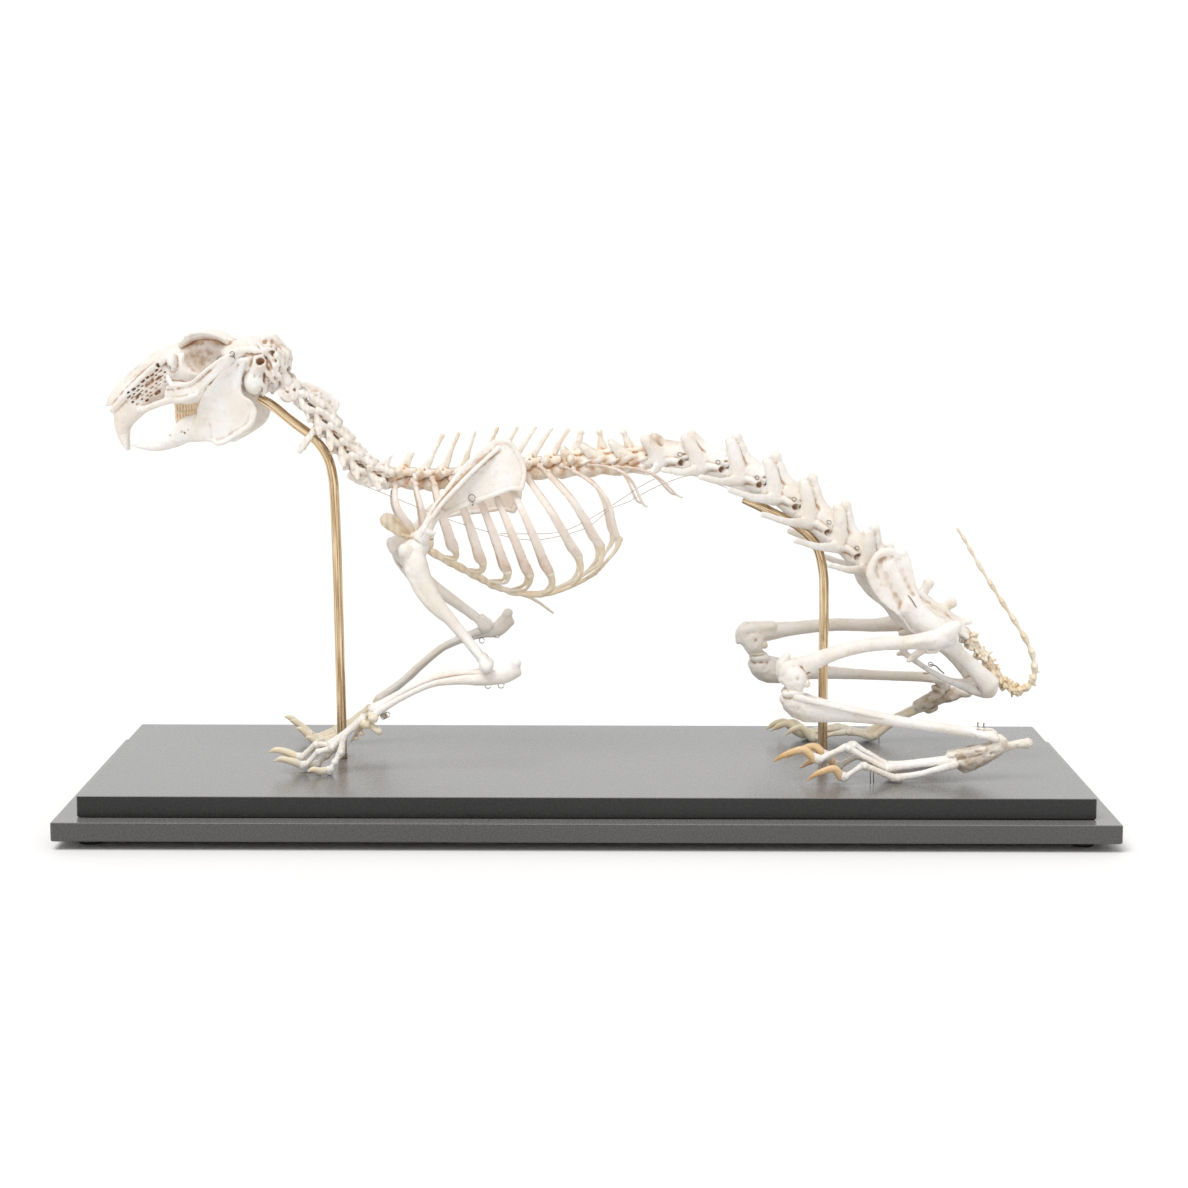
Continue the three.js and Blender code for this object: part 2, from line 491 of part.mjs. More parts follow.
// Front legs: joint places of each side, then the bones between them. The ulna and the radius are given as
// [share of the way from elbow to wrist, rise above that line]. A foot's toe row runs from root to claw tip, and
// each of its four digits as [depth at the root, depth at the tip, how much shorter, how much lower].
const FRONT_LEGS = {
  left: {
    shoulder: at(-85.5, -26.5, 131.5), elbow: at(-49, -32, 76.5), wrist: at(-105.5, -31, 51.5),
    socket: at(-81.2, -26, 137), top: at(-41.5, -15.5, 185.3),
    ulna: [[-0.2, -7.3], [-0.1, -7.9], [0.08, -5.4], [0.25, -1.2], [0.44, 2], [0.6, 2.4], [0.78, 1.6], [0.95, 0.2]],
    radius: [[0.05, -3.6], [0.22, 1.6], [0.36, 3.6], [0.54, 4.3], [0.74, 3.4], [0.97, 2.2]],
    toe: [[-109.5, 50], [-118.5, 42.3], [-125.8, 35], [-131.6, 33.5], [-138, 27], [-145.1, 29.5], [-152.8, 29.6]],
    digits: [[-33, -44, 17, 5], [-31.5, -38.5, 0, 0], [-30, -33.5, -3, -3.6], [-28.5, -27.5, 7, 3.5]],
  },
  right: {
    shoulder: at(-96, 26.5, 128), elbow: at(-52, 32, 86.5), wrist: at(-108.5, 36, 46),
    socket: at(-90.5, 26.5, 132.3), top: at(-41.4, 22.5, 171),
    ulna: [[-0.16, -4.2], [-0.05, -5.1], [0.06, -2], [0.23, 1.4], [0.36, 2.6], [0.5, 2], [0.72, 0], [0.95, -0.6]],
    radius: [[0.05, -1.5], [0.22, 2.2], [0.36, 3.2], [0.54, 2.6], [0.74, 0.8], [0.97, 0.4]],
    toe: [[-111.5, 42.5], [-121.5, 35.5], [-131, 29.8], [-140.5, 25.8], [-146, 28.6], [-151, 32.8], [-157.5, 35.7]],
    digits: [[38, 45.5, 0, 0], [36.5, 40, 3.5, 1], [35, 34.5, 7, 4], [33.5, 29.6, 12.5, 8]],
  },
};

// The shoulder blade is laid out along the line from its socket to its top corner, as [share, mm across].
const SHOULDER_BLADE = [
  [0, -3.2], [0, 3.4], [0.1, 4.2], [0.23, 5.9], [0.42, 6.5], [0.62, 7], [0.78, 5.9], [0.97, 2.7], [1.03, -2.1],
  [1.01, -9.2], [0.965, -15.4], [0.91, -18.9], [0.79, -23], [0.74, -18.2], [0.66, -15.7], [0.52, -10.4],
  [0.42, -6.3], [0.31, -2.5], [0.23, 0], [0.1, -0.6],
];

function addShoulderBlade({ name, sign }, { socket, top }) {
  const run = at(top.x - socket.x, 0, top.z - socket.z);
  const length = run.length();
  const line = run.clone().normalize();
  const across = at(-line.z, 0, line.x);
  const corner = ([share, out]) => {
    const p = along(along(at(socket.x, 0, socket.z), line, share * length), across, out);
    return [p.x, p.z];
  };
  const depthAt = (x, z) => mix(socket.y, top.y, ((x - socket.x) * line.x + (z - socket.z) * line.z) / length);
  const onBlade = (share, out, lift) => {
    const [x, z] = corner([share, out]);
    return at(x, depthAt(x, z) + sign * lift, z);
  };
  const pieces = [
    blade(SHOULDER_BLADE.map(corner), depthAt, 1.4),
    limb([onBlade(0.02, 0.3, 0), onBlade(0.15, 1.6, 0)], [[3.2, 4], [1.7, 2.6]], { rings: 2 }),
    limb([onBlade(0.9, -2.2, 0.6), onBlade(0.6, 2.9, 2), onBlade(0.29, 4.8, 3), onBlade(0.06, 2, 5.2),
      onBlade(0.16, -3.6, 5)], [[1, 1], [1.8, 1], [2.2, 1], [1.4, 1.6], [1, 1.2]], { sides: 5, rings: 5 }),
  ];
  addBone(`scapula_${name}`, pieces, { clearOf: [`humerus_${name}`] });
}

// A digit in one piece: its palm bone, knuckle, toe bones and arched claw.
const CLAW_START = 4;
const SHORTER_SHARE = [0, 0, 0.3, 0.5, 0.75, 0.9, 1];
const LOWER_SHARE = [0, 0.12, 0.4, 0.9, 0.9, 1, 1];

function digit(toe, [rootY, tipY, shorter, lower], size) {
  const girth = [1.1, 0.8, 1.15, 0.8, 0.95, 0.85, 0.25].map((share) => share * size);
  const path = toe.map(([x, z], i) => {
    const floor = GROUND + GAP + girth[i] * 1.3;
    return at(
      x + shorter * SHORTER_SHARE[i],
      mix(rootY, tipY, i / (toe.length - 1)),
      Math.max(z - lower * LOWER_SHARE[i], floor),
    );
  });
  return limb(path, girth.map((g, i) => (i < CLAW_START ? g : [g * 0.8, g * 1.15])), { sides: 5, rings: path.length });
}

function addFrontLeg(side) {
  const leg = FRONT_LEGS[side.name];
  const { shoulder, elbow, wrist } = leg;
  const { sign } = side;
  const arm = elbow.clone().sub(shoulder).normalize();
  const ahead = new THREE.Vector3().crossVectors(at(0, 1, 0), arm);
  const onArm = (share, bow) => along(between(shoulder, elbow, share), ahead, bow);
  addBone(`humerus_${side.name}`, [
    limb([along(shoulder, arm, -2.5).add(at(1, -sign * 1.5, 0)), onArm(0.08, 1.6), onArm(0.22, 4), onArm(0.4, 4.8),
      onArm(0.58, 3.2), onArm(0.78, 1.2), onArm(0.97, 0)],
    [[4.6, 5], [5.4, 7.2], [3.8, 5.6], [3.2, 4.5], [3.1, 3.8], [3.4, 3.4], [5, 4]], { sides: 8, rings: 8 }),
    limb([along(elbow, LEFT, -5.4), along(elbow, LEFT, 5.4)], [4, 4.2], { sides: 8, rings: 2, wide: UP, cap: 0.2 }),
  ]);

  const forearm = wrist.clone().sub(elbow);
  const length = forearm.length();
  const line = forearm.clone().normalize();
  const rise = new THREE.Vector3().crossVectors(line, at(0, 1, 0)).normalize();
  if (rise.z < 0) rise.negate();
  const place = (out) => ([share, up]) => along(along(elbow, line, share * length), rise, up).add(at(0, sign * out, 0));
  addBone(`forearm_${side.name}`, [
    limb(leg.ulna.map(place(0.9)), [[2.2, 4.4], [2.2, 4.2], [2.8, 3.2], [1.7, 2.3], [1.5, 2], [1.5, 1.9], [1.4, 1.8],
      [2.2, 2.2]], { rings: 8 }),
    limb(leg.radius.map(place(-1)), [[3.8, 2.2], [2, 2], [1.9, 1.9], [1.9, 1.9], [2.1, 1.9], [3, 2.6]], { rings: 6 }),
  ], { clearOf: [`humerus_${side.name}`] });

  const pieces = [
    limb([wrist.clone().add(at(1, 0, -1)), wrist.clone().add(at(-6, 0, -6))], [[4.6, 3.6], [4.8, 3]], { rings: 3 }),
    limb([wrist.clone().add(at(-2, sign * 1.5, -5)), wrist.clone().add(at(4.5, sign * 2, -8.5))], [1.9, 2], SLIM),
    limb([wrist.clone().add(at(-3, -sign * 3.5, -5)), wrist.clone().add(at(-10, -sign * 6, -14))], [1.5, 1.2], SLIM),
    ...leg.digits.map((row) => digit(leg.toe, row, 1.6)),
  ];
  addBone(`forefoot_${side.name}`, pieces, { clearOf: [`forearm_${side.name}`] });
}

// Pelvis: drawn for the left half, turned a little about the upright so that its right half lies further forward.
const HIP_TURN = THREE.MathUtils.degToRad(8);
const PELVIS_MIDDLE = at(170, 0, 90);
const HIP_HALF = 19;
const SOCKET_RADIUS = 5.6;

const turnHips = (p) => p.clone().sub(PELVIS_MIDDLE).applyAxisAngle(UP, HIP_TURN).add(PELVIS_MIDDLE);
const hipAt = (sign) => turnHips(at(173.5, sign * HIP_HALF, 88.8));
const turned = (piece) => (grow) => {
  const shape = piece(grow);
  shape.translate(-PELVIS_MIDDLE.x, 0, -PELVIS_MIDDLE.z);
  shape.rotateZ(HIP_TURN);
  shape.translate(PELVIS_MIDDLE.x, 0, PELVIS_MIDDLE.z);
  return shape;
};

function addHipBone({ name, sign }) {
  const wing = [[135, 119.5], [136.5, 124.5], [142, 131.5], [152.5, 132], [154.8, 128.5], [158, 117], [164, 101],
    [166, 97], [155, 91.5], [147, 103], [139, 110]];
  const out = (x, z) => sign * (16.5 - (z - 95) * 0.07);
  const pieces = [
    blade(wing, out, 3),
    limb([at(152, sign * 15.5, 116), at(162, sign * 16.5, 99), at(173, sign * 17, 88.8), at(184, sign * 14.5, 77),
      at(193, sign * 13, 68), at(198.5, sign * 12, 60.5)],
    [[3, 5], [3.2, 5.4], [5.4, 7.6], [2.2, 5.4], [2.2, 6.5], [3, 7]], { sides: 8, rings: 9 }),
    limb([at(170, sign * 15.5, 86), at(160, sign * 9, 79), at(165, sign * 2.6, 72.5), at(176, sign * 2.6, 66.5),
      at(188, sign * 6, 62), at(197, sign * 11, 60)],
    [[2.6, 4], [2, 2.8], [1.8, 3], [1.8, 3], [1.8, 3.2], [2.2, 4]], { rings: 8 }),
  ];
  const socket = () => new THREE.SphereGeometry(SOCKET_RADIUS, 10, 8)
    .translate(...hipAt(sign).add(at(0, sign * 2, 0)).toArray());
  const middle = () => turned(() => new THREE.BoxGeometry(300, 60, 300).translate(170, -sign * (30 - GAP / 2), 90))(0);
  addBone(`hip_${name}`, pieces.map(turned), { clearOf: ['sacrum', 'lumbar_spine'], cuts: [socket, middle] });
}

// Hind legs: the bow is how far the thigh bone stands above the line from hip to knee, at a quarter, a half and
// three quarters of it; the instep runs from the heel to the roots of the digits.
const HIND_LEGS = {
  left: {
    knee: at(97.5, -49, 74.5), kneecap: at(93.9, -49, 81), shin: at(97.8, -49, 60), ankle: at(199, -47, 44.5),
    bow: [3, 6, 5.4],
    instep: [at(211.5, -47, 40.4), at(203, -47, 39.6), at(192, -48, 37.2), at(181, -49, 34.4), at(172, -50, 32.8)],
    toe: [[178, 33.8], [161, 31.8], [144.5, 30], [127.5, 41], [116.5, 35.2], [107.5, 39.8], [96, 35.1]],
    digits: [[-54, -61, 12.5, 8.4], [-51.2, -55.5, -3.6, 0.2], [-48.5, -49.5, 3, -0.4], [-45.8, -43, 10.5, 6]],
  },
  right: {
    knee: at(82.8, 36, 79.5), kneecap: at(79.6, 36, 82.6), shin: at(87.5, 37, 62.8), ankle: at(184, 45, 57),
    bow: [1, 3.2, 3],
    instep: [at(194.5, 47, 50), at(188, 47, 47.6), at(179, 47.3, 44.6), at(168, 47.5, 40.6)],
    toe: [[176, 43], [162.5, 36.8], [145.5, 27.2], [131, 30.4], [112, 27], [103.5, 32.4], [94.5, 28.4]],
    digits: [[51, 58, 5, 1.2], [48.8, 52.5, -1, 0], [46.4, 47, 1, 0], [44, 41, 8, 1]],
  },
};
const HEAD_RADIUS = 5.1;

function addHindLeg({ name, sign }) {
  const leg = HIND_LEGS[name];
  const { knee, shin, ankle } = leg;
  const hip = hipAt(sign).add(at(0, sign * 2, 0));
  const thigh = knee.clone().sub(hip).normalize();
  const lift = new THREE.Vector3().crossVectors(thigh, at(0, 1, 0)).normalize();
  if (lift.z < 0) lift.negate();
  const onThigh = (share, up, out) => along(between(hip, knee, share), lift, up).add(at(0, sign * out, 0));
  addBone(`femur_${name}`, [
    (grow = 0) => new THREE.SphereGeometry(HEAD_RADIUS + grow, 8, 6).translate(hip.x, hip.y, hip.z),
    limb([hip, onThigh(0.06, 0, 5)], [3.4, 3.6], { rings: 2 }),
    limb([onThigh(-0.06, 5, 6.5), onThigh(0.05, 2, 6), onThigh(0.25, leg.bow[0], 4), onThigh(0.5, leg.bow[1], 2),
      onThigh(0.75, leg.bow[2], 1), onThigh(0.96, 1, 0)],
    [[3, 4], [4.4, 5.8], [3.6, 4], [3.4, 3.6], [3.8, 4], [5.6, 6.4]], { sides: 8, rings: 10 }),
    knob(knee.clone().add(at(1, -4, 0)), [7, 3.4, 7.8], { sides: 8, rings: 4 }),
    knob(knee.clone().add(at(1, 4, 0)), [7, 3.4, 7.8], { sides: 8, rings: 4 }),
  ], { clearOf: [`hip_${name}`] });
  const outOfKnee = leg.kneecap.clone().sub(knee).normalize();
  addBone(`kneecap_${name}`, [
    limb([along(leg.kneecap, at(-0.5, 0, -0.9), 4), leg.kneecap, along(leg.kneecap, at(0.7, 0, 0.75), 5)]
      .map((p) => along(p, outOfKnee, 1.2)), [[2, 1.6], [3, 2.2], [1.8, 1.4]], { sides: 5, rings: 4 }),
  ], { clearOf: [`femur_${name}`] });

  const onShin = (share, up, out) => between(shin, ankle, share).add(at(0, sign * out, up));
  addBone(`tibia_${name}`, [
    limb([onShin(-0.015, 3, 0), onShin(0.06, 0, 0), onShin(0.25, 0.5, 0), onShin(0.5, 0.3, 0), onShin(0.75, 0.4, 0),
      onShin(0.95, 1.2, 0)], [[6.4, 7], [5.6, 7.2], [3.8, 4.4], [3, 2.9], [2.9, 2.5], [4, 3]], { sides: 8, rings: 9 }),
    limb([onShin(0.06, 5.5, 5.2), onShin(0.42, 1.2, 2.4)], [[1.2, 1.8], 1.2], { sides: 5, rings: 2 }),
  ], { clearOf: [`femur_${name}`, `kneecap_${name}`] });

  const pieces = [
    limb(leg.instep, leg.instep.map((p, i) => [[2.8, 3, 5, 6.2, 5.6][i], [3.4, 3.9, 4.8, 4.4, 3.2][i]]),
      { rings: leg.instep.length + 1 }),
    knob(ankle.clone().add(at(0.5, 0, -2)), [4.2, 4.2, 3.8], { sides: 6, rings: 4 }),
    ...leg.digits.map((row) => digit(leg.toe, row, 2)),
  ];
  addBone(`hindfoot_${name}`, pieces, { clearOf: [`tibia_${name}`] });
}

// Assembly
addBase();
addBone('stand_rod_front', [rodPiece(FRONT_ROD)], { finish: BRASS });
addBone('stand_rod_rear', [rodPiece(REAR_ROD)], { finish: BRASS });
addBone('skull', skullPieces().map(turnHead), {
  clearOf: ['stand_rod_front'],
  cuts: orbitCuts().map(turnHead),
});
addBone('mandible', jawPieces().map(turnHead), { clearOf: ['skull'] });
addNeck();
addChestSpine();
addLoins();
addSacrumAndTail();
SIDES.forEach(addRibCage);
for (const side of SIDES) {
  addFrontLeg(side);
  addShoulderBlade(side, FRONT_LEGS[side.name]);
  addHipBone(side);
  addHindLeg(side);
}

export default group;
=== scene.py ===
"""Mounted rabbit skeleton on a two-step base, with every bone shaped in full.

Lengths below are in millimetres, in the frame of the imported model: the origin under the middle of the base,
the head towards -X, the animal's left side towards -Y and up +Z. Meshes are made in metres.
"""

import math

import bpy
import numpy as np
from mathutils import Euler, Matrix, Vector


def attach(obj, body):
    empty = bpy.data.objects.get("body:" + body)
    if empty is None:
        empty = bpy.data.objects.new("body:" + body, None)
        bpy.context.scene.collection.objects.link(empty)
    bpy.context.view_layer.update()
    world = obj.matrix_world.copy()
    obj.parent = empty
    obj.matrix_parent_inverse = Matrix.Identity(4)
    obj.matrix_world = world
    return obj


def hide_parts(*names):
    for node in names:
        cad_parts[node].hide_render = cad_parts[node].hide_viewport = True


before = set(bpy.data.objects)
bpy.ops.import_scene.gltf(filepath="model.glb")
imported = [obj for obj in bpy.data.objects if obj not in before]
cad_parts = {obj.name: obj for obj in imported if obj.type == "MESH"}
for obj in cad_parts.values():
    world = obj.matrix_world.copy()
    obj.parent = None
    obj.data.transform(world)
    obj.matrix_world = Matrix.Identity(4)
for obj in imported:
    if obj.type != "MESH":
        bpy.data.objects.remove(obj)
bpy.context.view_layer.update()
MM = 0.001
SIDES = (("left", -1), ("right", 1))
GROUND = 23.3

# Camera of the photograph
CAMERA_PLACE = (1.4, -1276.6, 287.5)
CAMERA_PITCH = 8.042
CAMERA_YAW = -0.081
CAMERA_ROLL = 0.167
FOCAL_PIXELS = 2586.3
IMAGE_PIXELS = 1188


def add_camera():
    """The view that was fitted to the photograph."""
    data = bpy.data.cameras.new("camera")
    data.sensor_width = 36
    data.lens = 36 * FOCAL_PIXELS / IMAGE_PIXELS
    data.clip_start = 0.05
    data.clip_end = 20
    camera = bpy.data.objects.new("camera", data)
    bpy.context.scene.collection.objects.link(camera)
    camera.location = Vector(CAMERA_PLACE) * MM
    look = Euler((math.radians(90 - CAMERA_PITCH), 0, math.radians(CAMERA_YAW)), "XYZ").to_matrix()
    roll = Euler((0, 0, math.radians(CAMERA_ROLL)), "XYZ").to_matrix()
    camera.rotation_euler = (look @ roll).to_euler()
    bpy.context.scene.camera = camera


# Small sums
def vec(*p):
    """A place or direction from its three numbers."""
    return np.array(p, float)


def unit(v):
    v = np.asarray(v, float)
    return v / max(np.linalg.norm(v), 1e-9)


def raised(v):
    """The direction of v or its opposite, whichever points up."""
    return unit(v) if unit(v)[2] > 0 else -unit(v)


def mix(a, b, t):
    return a + (b - a) * t


def beside(s, points):
    """Points of the right side as (x, out, z), put on side s."""
    return [(x, s * out, z) for x, out, z in points]


def curve(points, per=6):
    """A smooth line through the points (centripetal Catmull-Rom), with `per` steps to each span."""
    p = [np.asarray(q, float) for q in points]
    if len(p) < 3:
        return np.array([mix(p[0], p[-1], t) for t in np.linspace(0, 1, per + 1)])
    p = [2 * p[0] - p[1], *p, 2 * p[-1] - p[-2]]
    out = []
    for i in range(1, len(p) - 2):
        a, b, c, d = p[i - 1:i + 3]
        t1 = max(np.linalg.norm((b - a)[:3]), 1e-6) ** 0.5
        t2 = t1 + max(np.linalg.norm((c - b)[:3]), 1e-6) ** 0.5
        t3 = t2 + max(np.linalg.norm((d - c)[:3]), 1e-6) ** 0.5
        for t in np.linspace(t1, t2, per + 1)[: -1 if i < len(p) - 3 else None]:
            ab = mix(a, b, t / t1)
            bc = mix(b, c, (t - t1) / (t2 - t1))
            cd = mix(c, d, (t - t2) / (t3 - t2))
            out.append(mix(mix(ab, bc, t / t2), mix(bc, cd, (t - t1) / (t3 - t1)), (t - t1) / (t2 - t1)))
    return np.array(out)


# Forms: each gives its box and its signed distance on three axes of grid places
def bar(path, widths, wide=(0, 1, 0), per=5):
    """A rounded limb along a smooth path. Each width is a radius, or (across along `wide`, deep)."""
    pairs = [w if isinstance(w, (tuple, list)) else (w, w) for w in widths]
    line = curve(np.array([[*p, *w] for p, w in zip(path, pairs)], float), per)
    places, sizes = line[:, :3], np.maximum(line[:, 3:], 0.15)
    most = sizes.max(1)
    low = (places - most[:, None]).min(0)
    high = (places + most[:, None]).max(0)
    wide = np.asarray(wide, float)

    def distance(axes, reach):
        out = np.full([len(a) for a in axes], 9.0, np.float32)
        for i in range(len(places) - 1):
            a, b = places[i], places[i + 1]
            grow = max(most[i], most[i + 1]) + reach
            near, far = np.minimum(a, b) - grow, np.maximum(a, b) + grow
            cut = tuple(slice(*np.searchsorted(ax, (near[k], far[k]))) for k, ax in enumerate(axes))
            x, y, z = np.ix_(*[ax[c].astype(np.float32) for ax, c in zip(axes, cut)])
            if not (x.size and y.size and z.size):
                continue
            run = b - a
            length = max(np.linalg.norm(run), 1e-6)
            t = run / length
            u = wide - wide.dot(t) * t
            u = unit(u if np.linalg.norm(u) > 0.05 else np.cross(t, (0.3, 0.1, 1)))
            v = np.cross(t, u)
            px, py, pz = x - a[0], y - a[1], z - a[2]
            s = px * t[0] + py * t[1] + pz * t[2]
            h = np.clip(s / length, 0, 1)
            wa = sizes[i, 0] + (sizes[i + 1, 0] - sizes[i, 0]) * h
            wb = sizes[i, 1] + (sizes[i + 1, 1] - sizes[i, 1]) * h
            qt = s - h * length
            qu = (px * u[0] + py * u[1] + pz * u[2]) / wa
            qv = (px * v[0] + py * v[1] + pz * v[2]) / wb
            wt = np.minimum(wa, wb)
            qt = qt / wt
            k0 = np.sqrt(qu * qu + qv * qv + qt * qt)
            k1 = np.sqrt((qu / wa) ** 2 + (qv / wb) ** 2 + (qt / wt) ** 2)
            d = k0 * (k0 - 1) / np.maximum(k1, 1e-3)
            out[cut] = np.minimum(out[cut], np.where(k0 < 0.05, -wt, d))
        return out

    return low, high, distance


def ball(centre, radii, turn=None):
    """An ellipsoid, turned by an Euler angle triple in degrees if given."""
    centre = np.asarray(centre, float)
    radii = np.asarray(radii if np.ndim(radii) else [radii] * 3, float)
    matrix = np.array(Euler([math.radians(a) for a in turn]).to_matrix()).T if turn else np.eye(3)
    reach = radii.max() if turn else radii

    def distance(axes, grow):
        x, y, z = np.ix_(*[(ax - centre[k]).astype(np.float32) for k, ax in enumerate(axes)])
        q = [(matrix[k, 0] * x + matrix[k, 1] * y + matrix[k, 2] * z) / radii[k] for k in range(3)]
        k0 = np.sqrt(q[0] ** 2 + q[1] ** 2 + q[2] ** 2)
        k1 = np.sqrt(sum((q[k] / radii[k]) ** 2 for k in range(3)))
        return np.where(k0 < 0.05, -radii.min(), k0 * (k0 - 1) / np.maximum(k1, 1e-3))

    return centre - reach, centre + reach, distance


def plate(outline, middle, half, edge=0.6, smooth=4):
    """A sheet of bone over an outline of (x, z) corners, with its middle at y = middle(x, z)."""
    corners = [np.asarray(c, float) for c in outline]
    loop = np.array(corners)
    if smooth:
        loop = curve([*corners[-2:], *corners, *corners[:2]], smooth)[2 * smooth:-2 * smooth]
    most_y = np.array([middle(*c) if callable(middle) else middle for c in loop])
    most_half = np.max([half(*c) if callable(half) else half for c in loop]) + 1.5
    low = vec(loop[:, 0].min(), most_y.min() - most_half, loop[:, 1].min())
    high = vec(loop[:, 0].max(), most_y.max() + most_half, loop[:, 1].max())

    def distance(axes, reach):
        x, z = np.meshgrid(axes[0], axes[2], indexing="ij")
        best = np.full(x.shape, 1e9)
        inside = np.zeros(x.shape, bool)
        for a, b in zip(loop, np.roll(loop, -1, 0)):
            run = b - a
            px, pz = x - a[0], z - a[1]
            h = np.clip((px * run[0] + pz * run[1]) / max(run.dot(run), 1e-9), 0, 1)
            best = np.minimum(best, (px - run[0] * h) ** 2 + (pz - run[1] * h) ** 2)
            crosses = (a[1] <= z) != (b[1] <= z)
            with np.errstate(divide="ignore", invalid="ignore"):
                inside ^= crosses & (px < (z - a[1]) * run[0] / (run[1] if run[1] else 1e-9))
        flat = (np.sqrt(best) * np.where(inside, -1, 1)).astype(np.float32)[:, None, :]
        mid = (middle(x, z) if callable(middle) else np.full(x.shape, middle)).astype(np.float32)[:, None, :]
        thick = (half(x, z) if callable(half) else np.full(x.shape, half)).astype(np.float32)[:, None, :]
        y = axes[1].astype(np.float32)[None, :, None]
        deep = np.abs(y - mid) - thick
        h = np.clip(0.5 + 0.5 * (deep - flat) / edge, 0, 1)
        return flat + (deep - flat) * h + edge * h * (1 - h)

    return low, high, distance


class Bone:
    """Rounded forms, smoothly joined and cut on a grid, then meshed as one closed surface."""

    def __init__(self, step=0.6, blend=1.2):
        self.step = step
        self.blend = blend
        self.forms = []

    def add(self, form, blend=None):
        self.forms.append((1, form, self.blend if blend is None else blend))
        return self

    def cut(self, form, blend=0.4):
        self.forms.append((-1, form, blend))
        return self

    def mesh(self, rough=0.1, seed=1, keep=60):
        step = self.step
        low = np.min([f[0] for sign, f, b in self.forms if sign > 0], 0) - 3 * step - 1
        high = np.max([f[1] for sign, f, b in self.forms if sign > 0], 0) + 3 * step + 1
        count = np.ceil((high - low) / step).astype(int) + 1
        axes = [low[k] + step * np.arange(count[k]) for k in range(3)]
        field = np.full(count, 9.0, np.float32)
        for sign, (near, far, distance), blend in self.forms:
            reach = blend + 2 * step
            part = tuple(slice(*np.searchsorted(axes[k], (near[k] - reach, far[k] + reach)))
                         for k in range(3))
            if any(s.stop <= s.start for s in part):
                continue
            new = distance([axes[k][part[k]] for k in range(3)], reach)
            old = field[part]
            if sign < 0:
                old, new = -old, new
            h = np.maximum(blend - np.abs(old - new), 0) / max(blend, 1e-6)
            both = np.minimum(old, new) - h * h * blend * 0.25
            field[part] = both if sign > 0 else -both
        if callable(rough):
            rough = rough(axes[0]).astype(np.float32)[:, None, None]
        field += rough * grain(axes, 2.6, seed)
        field += rough * 0.6 * grain(axes, 1.3, seed + 7)
        for k in range(3):
            for end in (0, -1):
                edge = [slice(None)] * 3
                edge[k] = end
                field[tuple(edge)] = 1
        return keep_large(*net(field, low, step), keep)


def grain(axes, size, seed):
    """Smooth random unevenness between -1 and 1, the same at the same place in every bone."""
    rng = np.random.default_rng(seed)
    cells = [np.floor((a[[0, -1]]) / size).astype(int) for a in axes]
    out = rng.uniform(-1, 1, [c[1] - c[0] + 2 for c in cells]).astype(np.float32)
    for k, a in enumerate(axes):
        t = a / size - cells[k][0]
        i = np.clip(np.floor(t).astype(int), 0, out.shape[k] - 2)
        f = t - i
        f = (f * f * (3 - 2 * f)).astype(np.float32).reshape([-1 if j == k else 1 for j in range(3)])
        out = np.take(out, i, k) * (1 - f) + np.take(out, i + 1, k) * f
    return out


def net(field, low, step):
    """Surface nets: one vertex in each cell that the surface crosses, one face on each crossed edge."""
    inside = field < 0
    shape = np.array(field.shape) - 1
    corner = [(i, j, k) for i in (0, 1) for j in (0, 1) for k in (0, 1)]
    view = [inside[i:i + shape[0], j:j + shape[1], k:k + shape[2]] for i, j, k in corner]
    total = sum(v.astype(np.int8) for v in view)
    cells = np.argwhere((total > 0) & (total < 8))
    number = np.full(shape, -1, np.int64)
    number[tuple(cells.T)] = np.arange(len(cells))
    values = np.stack([field[tuple((cells + c).T)] for c in corner], 1)
    place = np.zeros((len(cells), 3))
    hits = np.zeros(len(cells))
    for a, ca in enumerate(corner):
        for b, cb in enumerate(corner):
            if b > a and sum(abs(p - q) for p, q in zip(ca, cb)) == 1:
                va, vb = values[:, a], values[:, b]
                crossed = (va < 0) != (vb < 0)
                t = np.where(crossed, va / np.where(crossed, va - vb, 1), 0)
                place += crossed[:, None] * (np.array(ca) + (np.array(cb) - np.array(ca)) * t[:, None])
                hits += crossed
    points = low + step * (cells + place / hits[:, None])
    faces = []
    for k in range(3):
        first = [slice(None)] * 3
        second = [slice(None)] * 3
        first[k], second[k] = slice(0, -1), slice(1, None)
        a, b = inside[tuple(first)], inside[tuple(second)]
        u, v = [n for n in range(3) if n != k]
        for flip in (False, True):
            edges = np.argwhere((a & ~b) if not flip else (~a & b))
            past = (edges[:, u] > 0) & (edges[:, v] > 0)
            edges = edges[past & (edges[:, u] < shape[u]) & (edges[:, v] < shape[v])]
            around = []
            for du, dv in ((-1, -1), (0, -1), (0, 0), (-1, 0)):
                cell = edges.copy()
                cell[:, u] += du
                cell[:, v] += dv
                around.append(number[tuple(cell.T)])
            quad = np.stack(around, 1)
            if flip != (k == 1):
                quad = quad[:, ::-1]
            faces.append(quad)
    return points, np.concatenate(faces)


def keep_large(points, faces, least):
    """Drops loose scraps of fewer than `least` vertices."""
    label = np.arange(len(points))
    pairs = np.concatenate([faces[:, [0, 1]], faces[:, [1, 2]], faces[:, [2, 3]]])
    while True:
        low = np.minimum(label[pairs[:, 0]], label[pairs[:, 1]])
        new = label.copy()
        np.minimum.at(new, pairs[:, 0], low)
        np.minimum.at(new, pairs[:, 1], low)
        new = new[new]
        if (new == label).all():
            break
        label = new
    big = np.bincount(label, minlength=len(points))[label] >= least
    index = np.cumsum(big) - 1
    return points[big], index[faces[big[faces].all(1)]]


def joined(meshes):
    """Several (points, faces) as one."""
    points, faces, start = [], [], 0
    for p, f in meshes:
        points.append(p)
        faces.append(f + start)
        start += len(p)
    return np.concatenate(points), np.concatenate(faces)


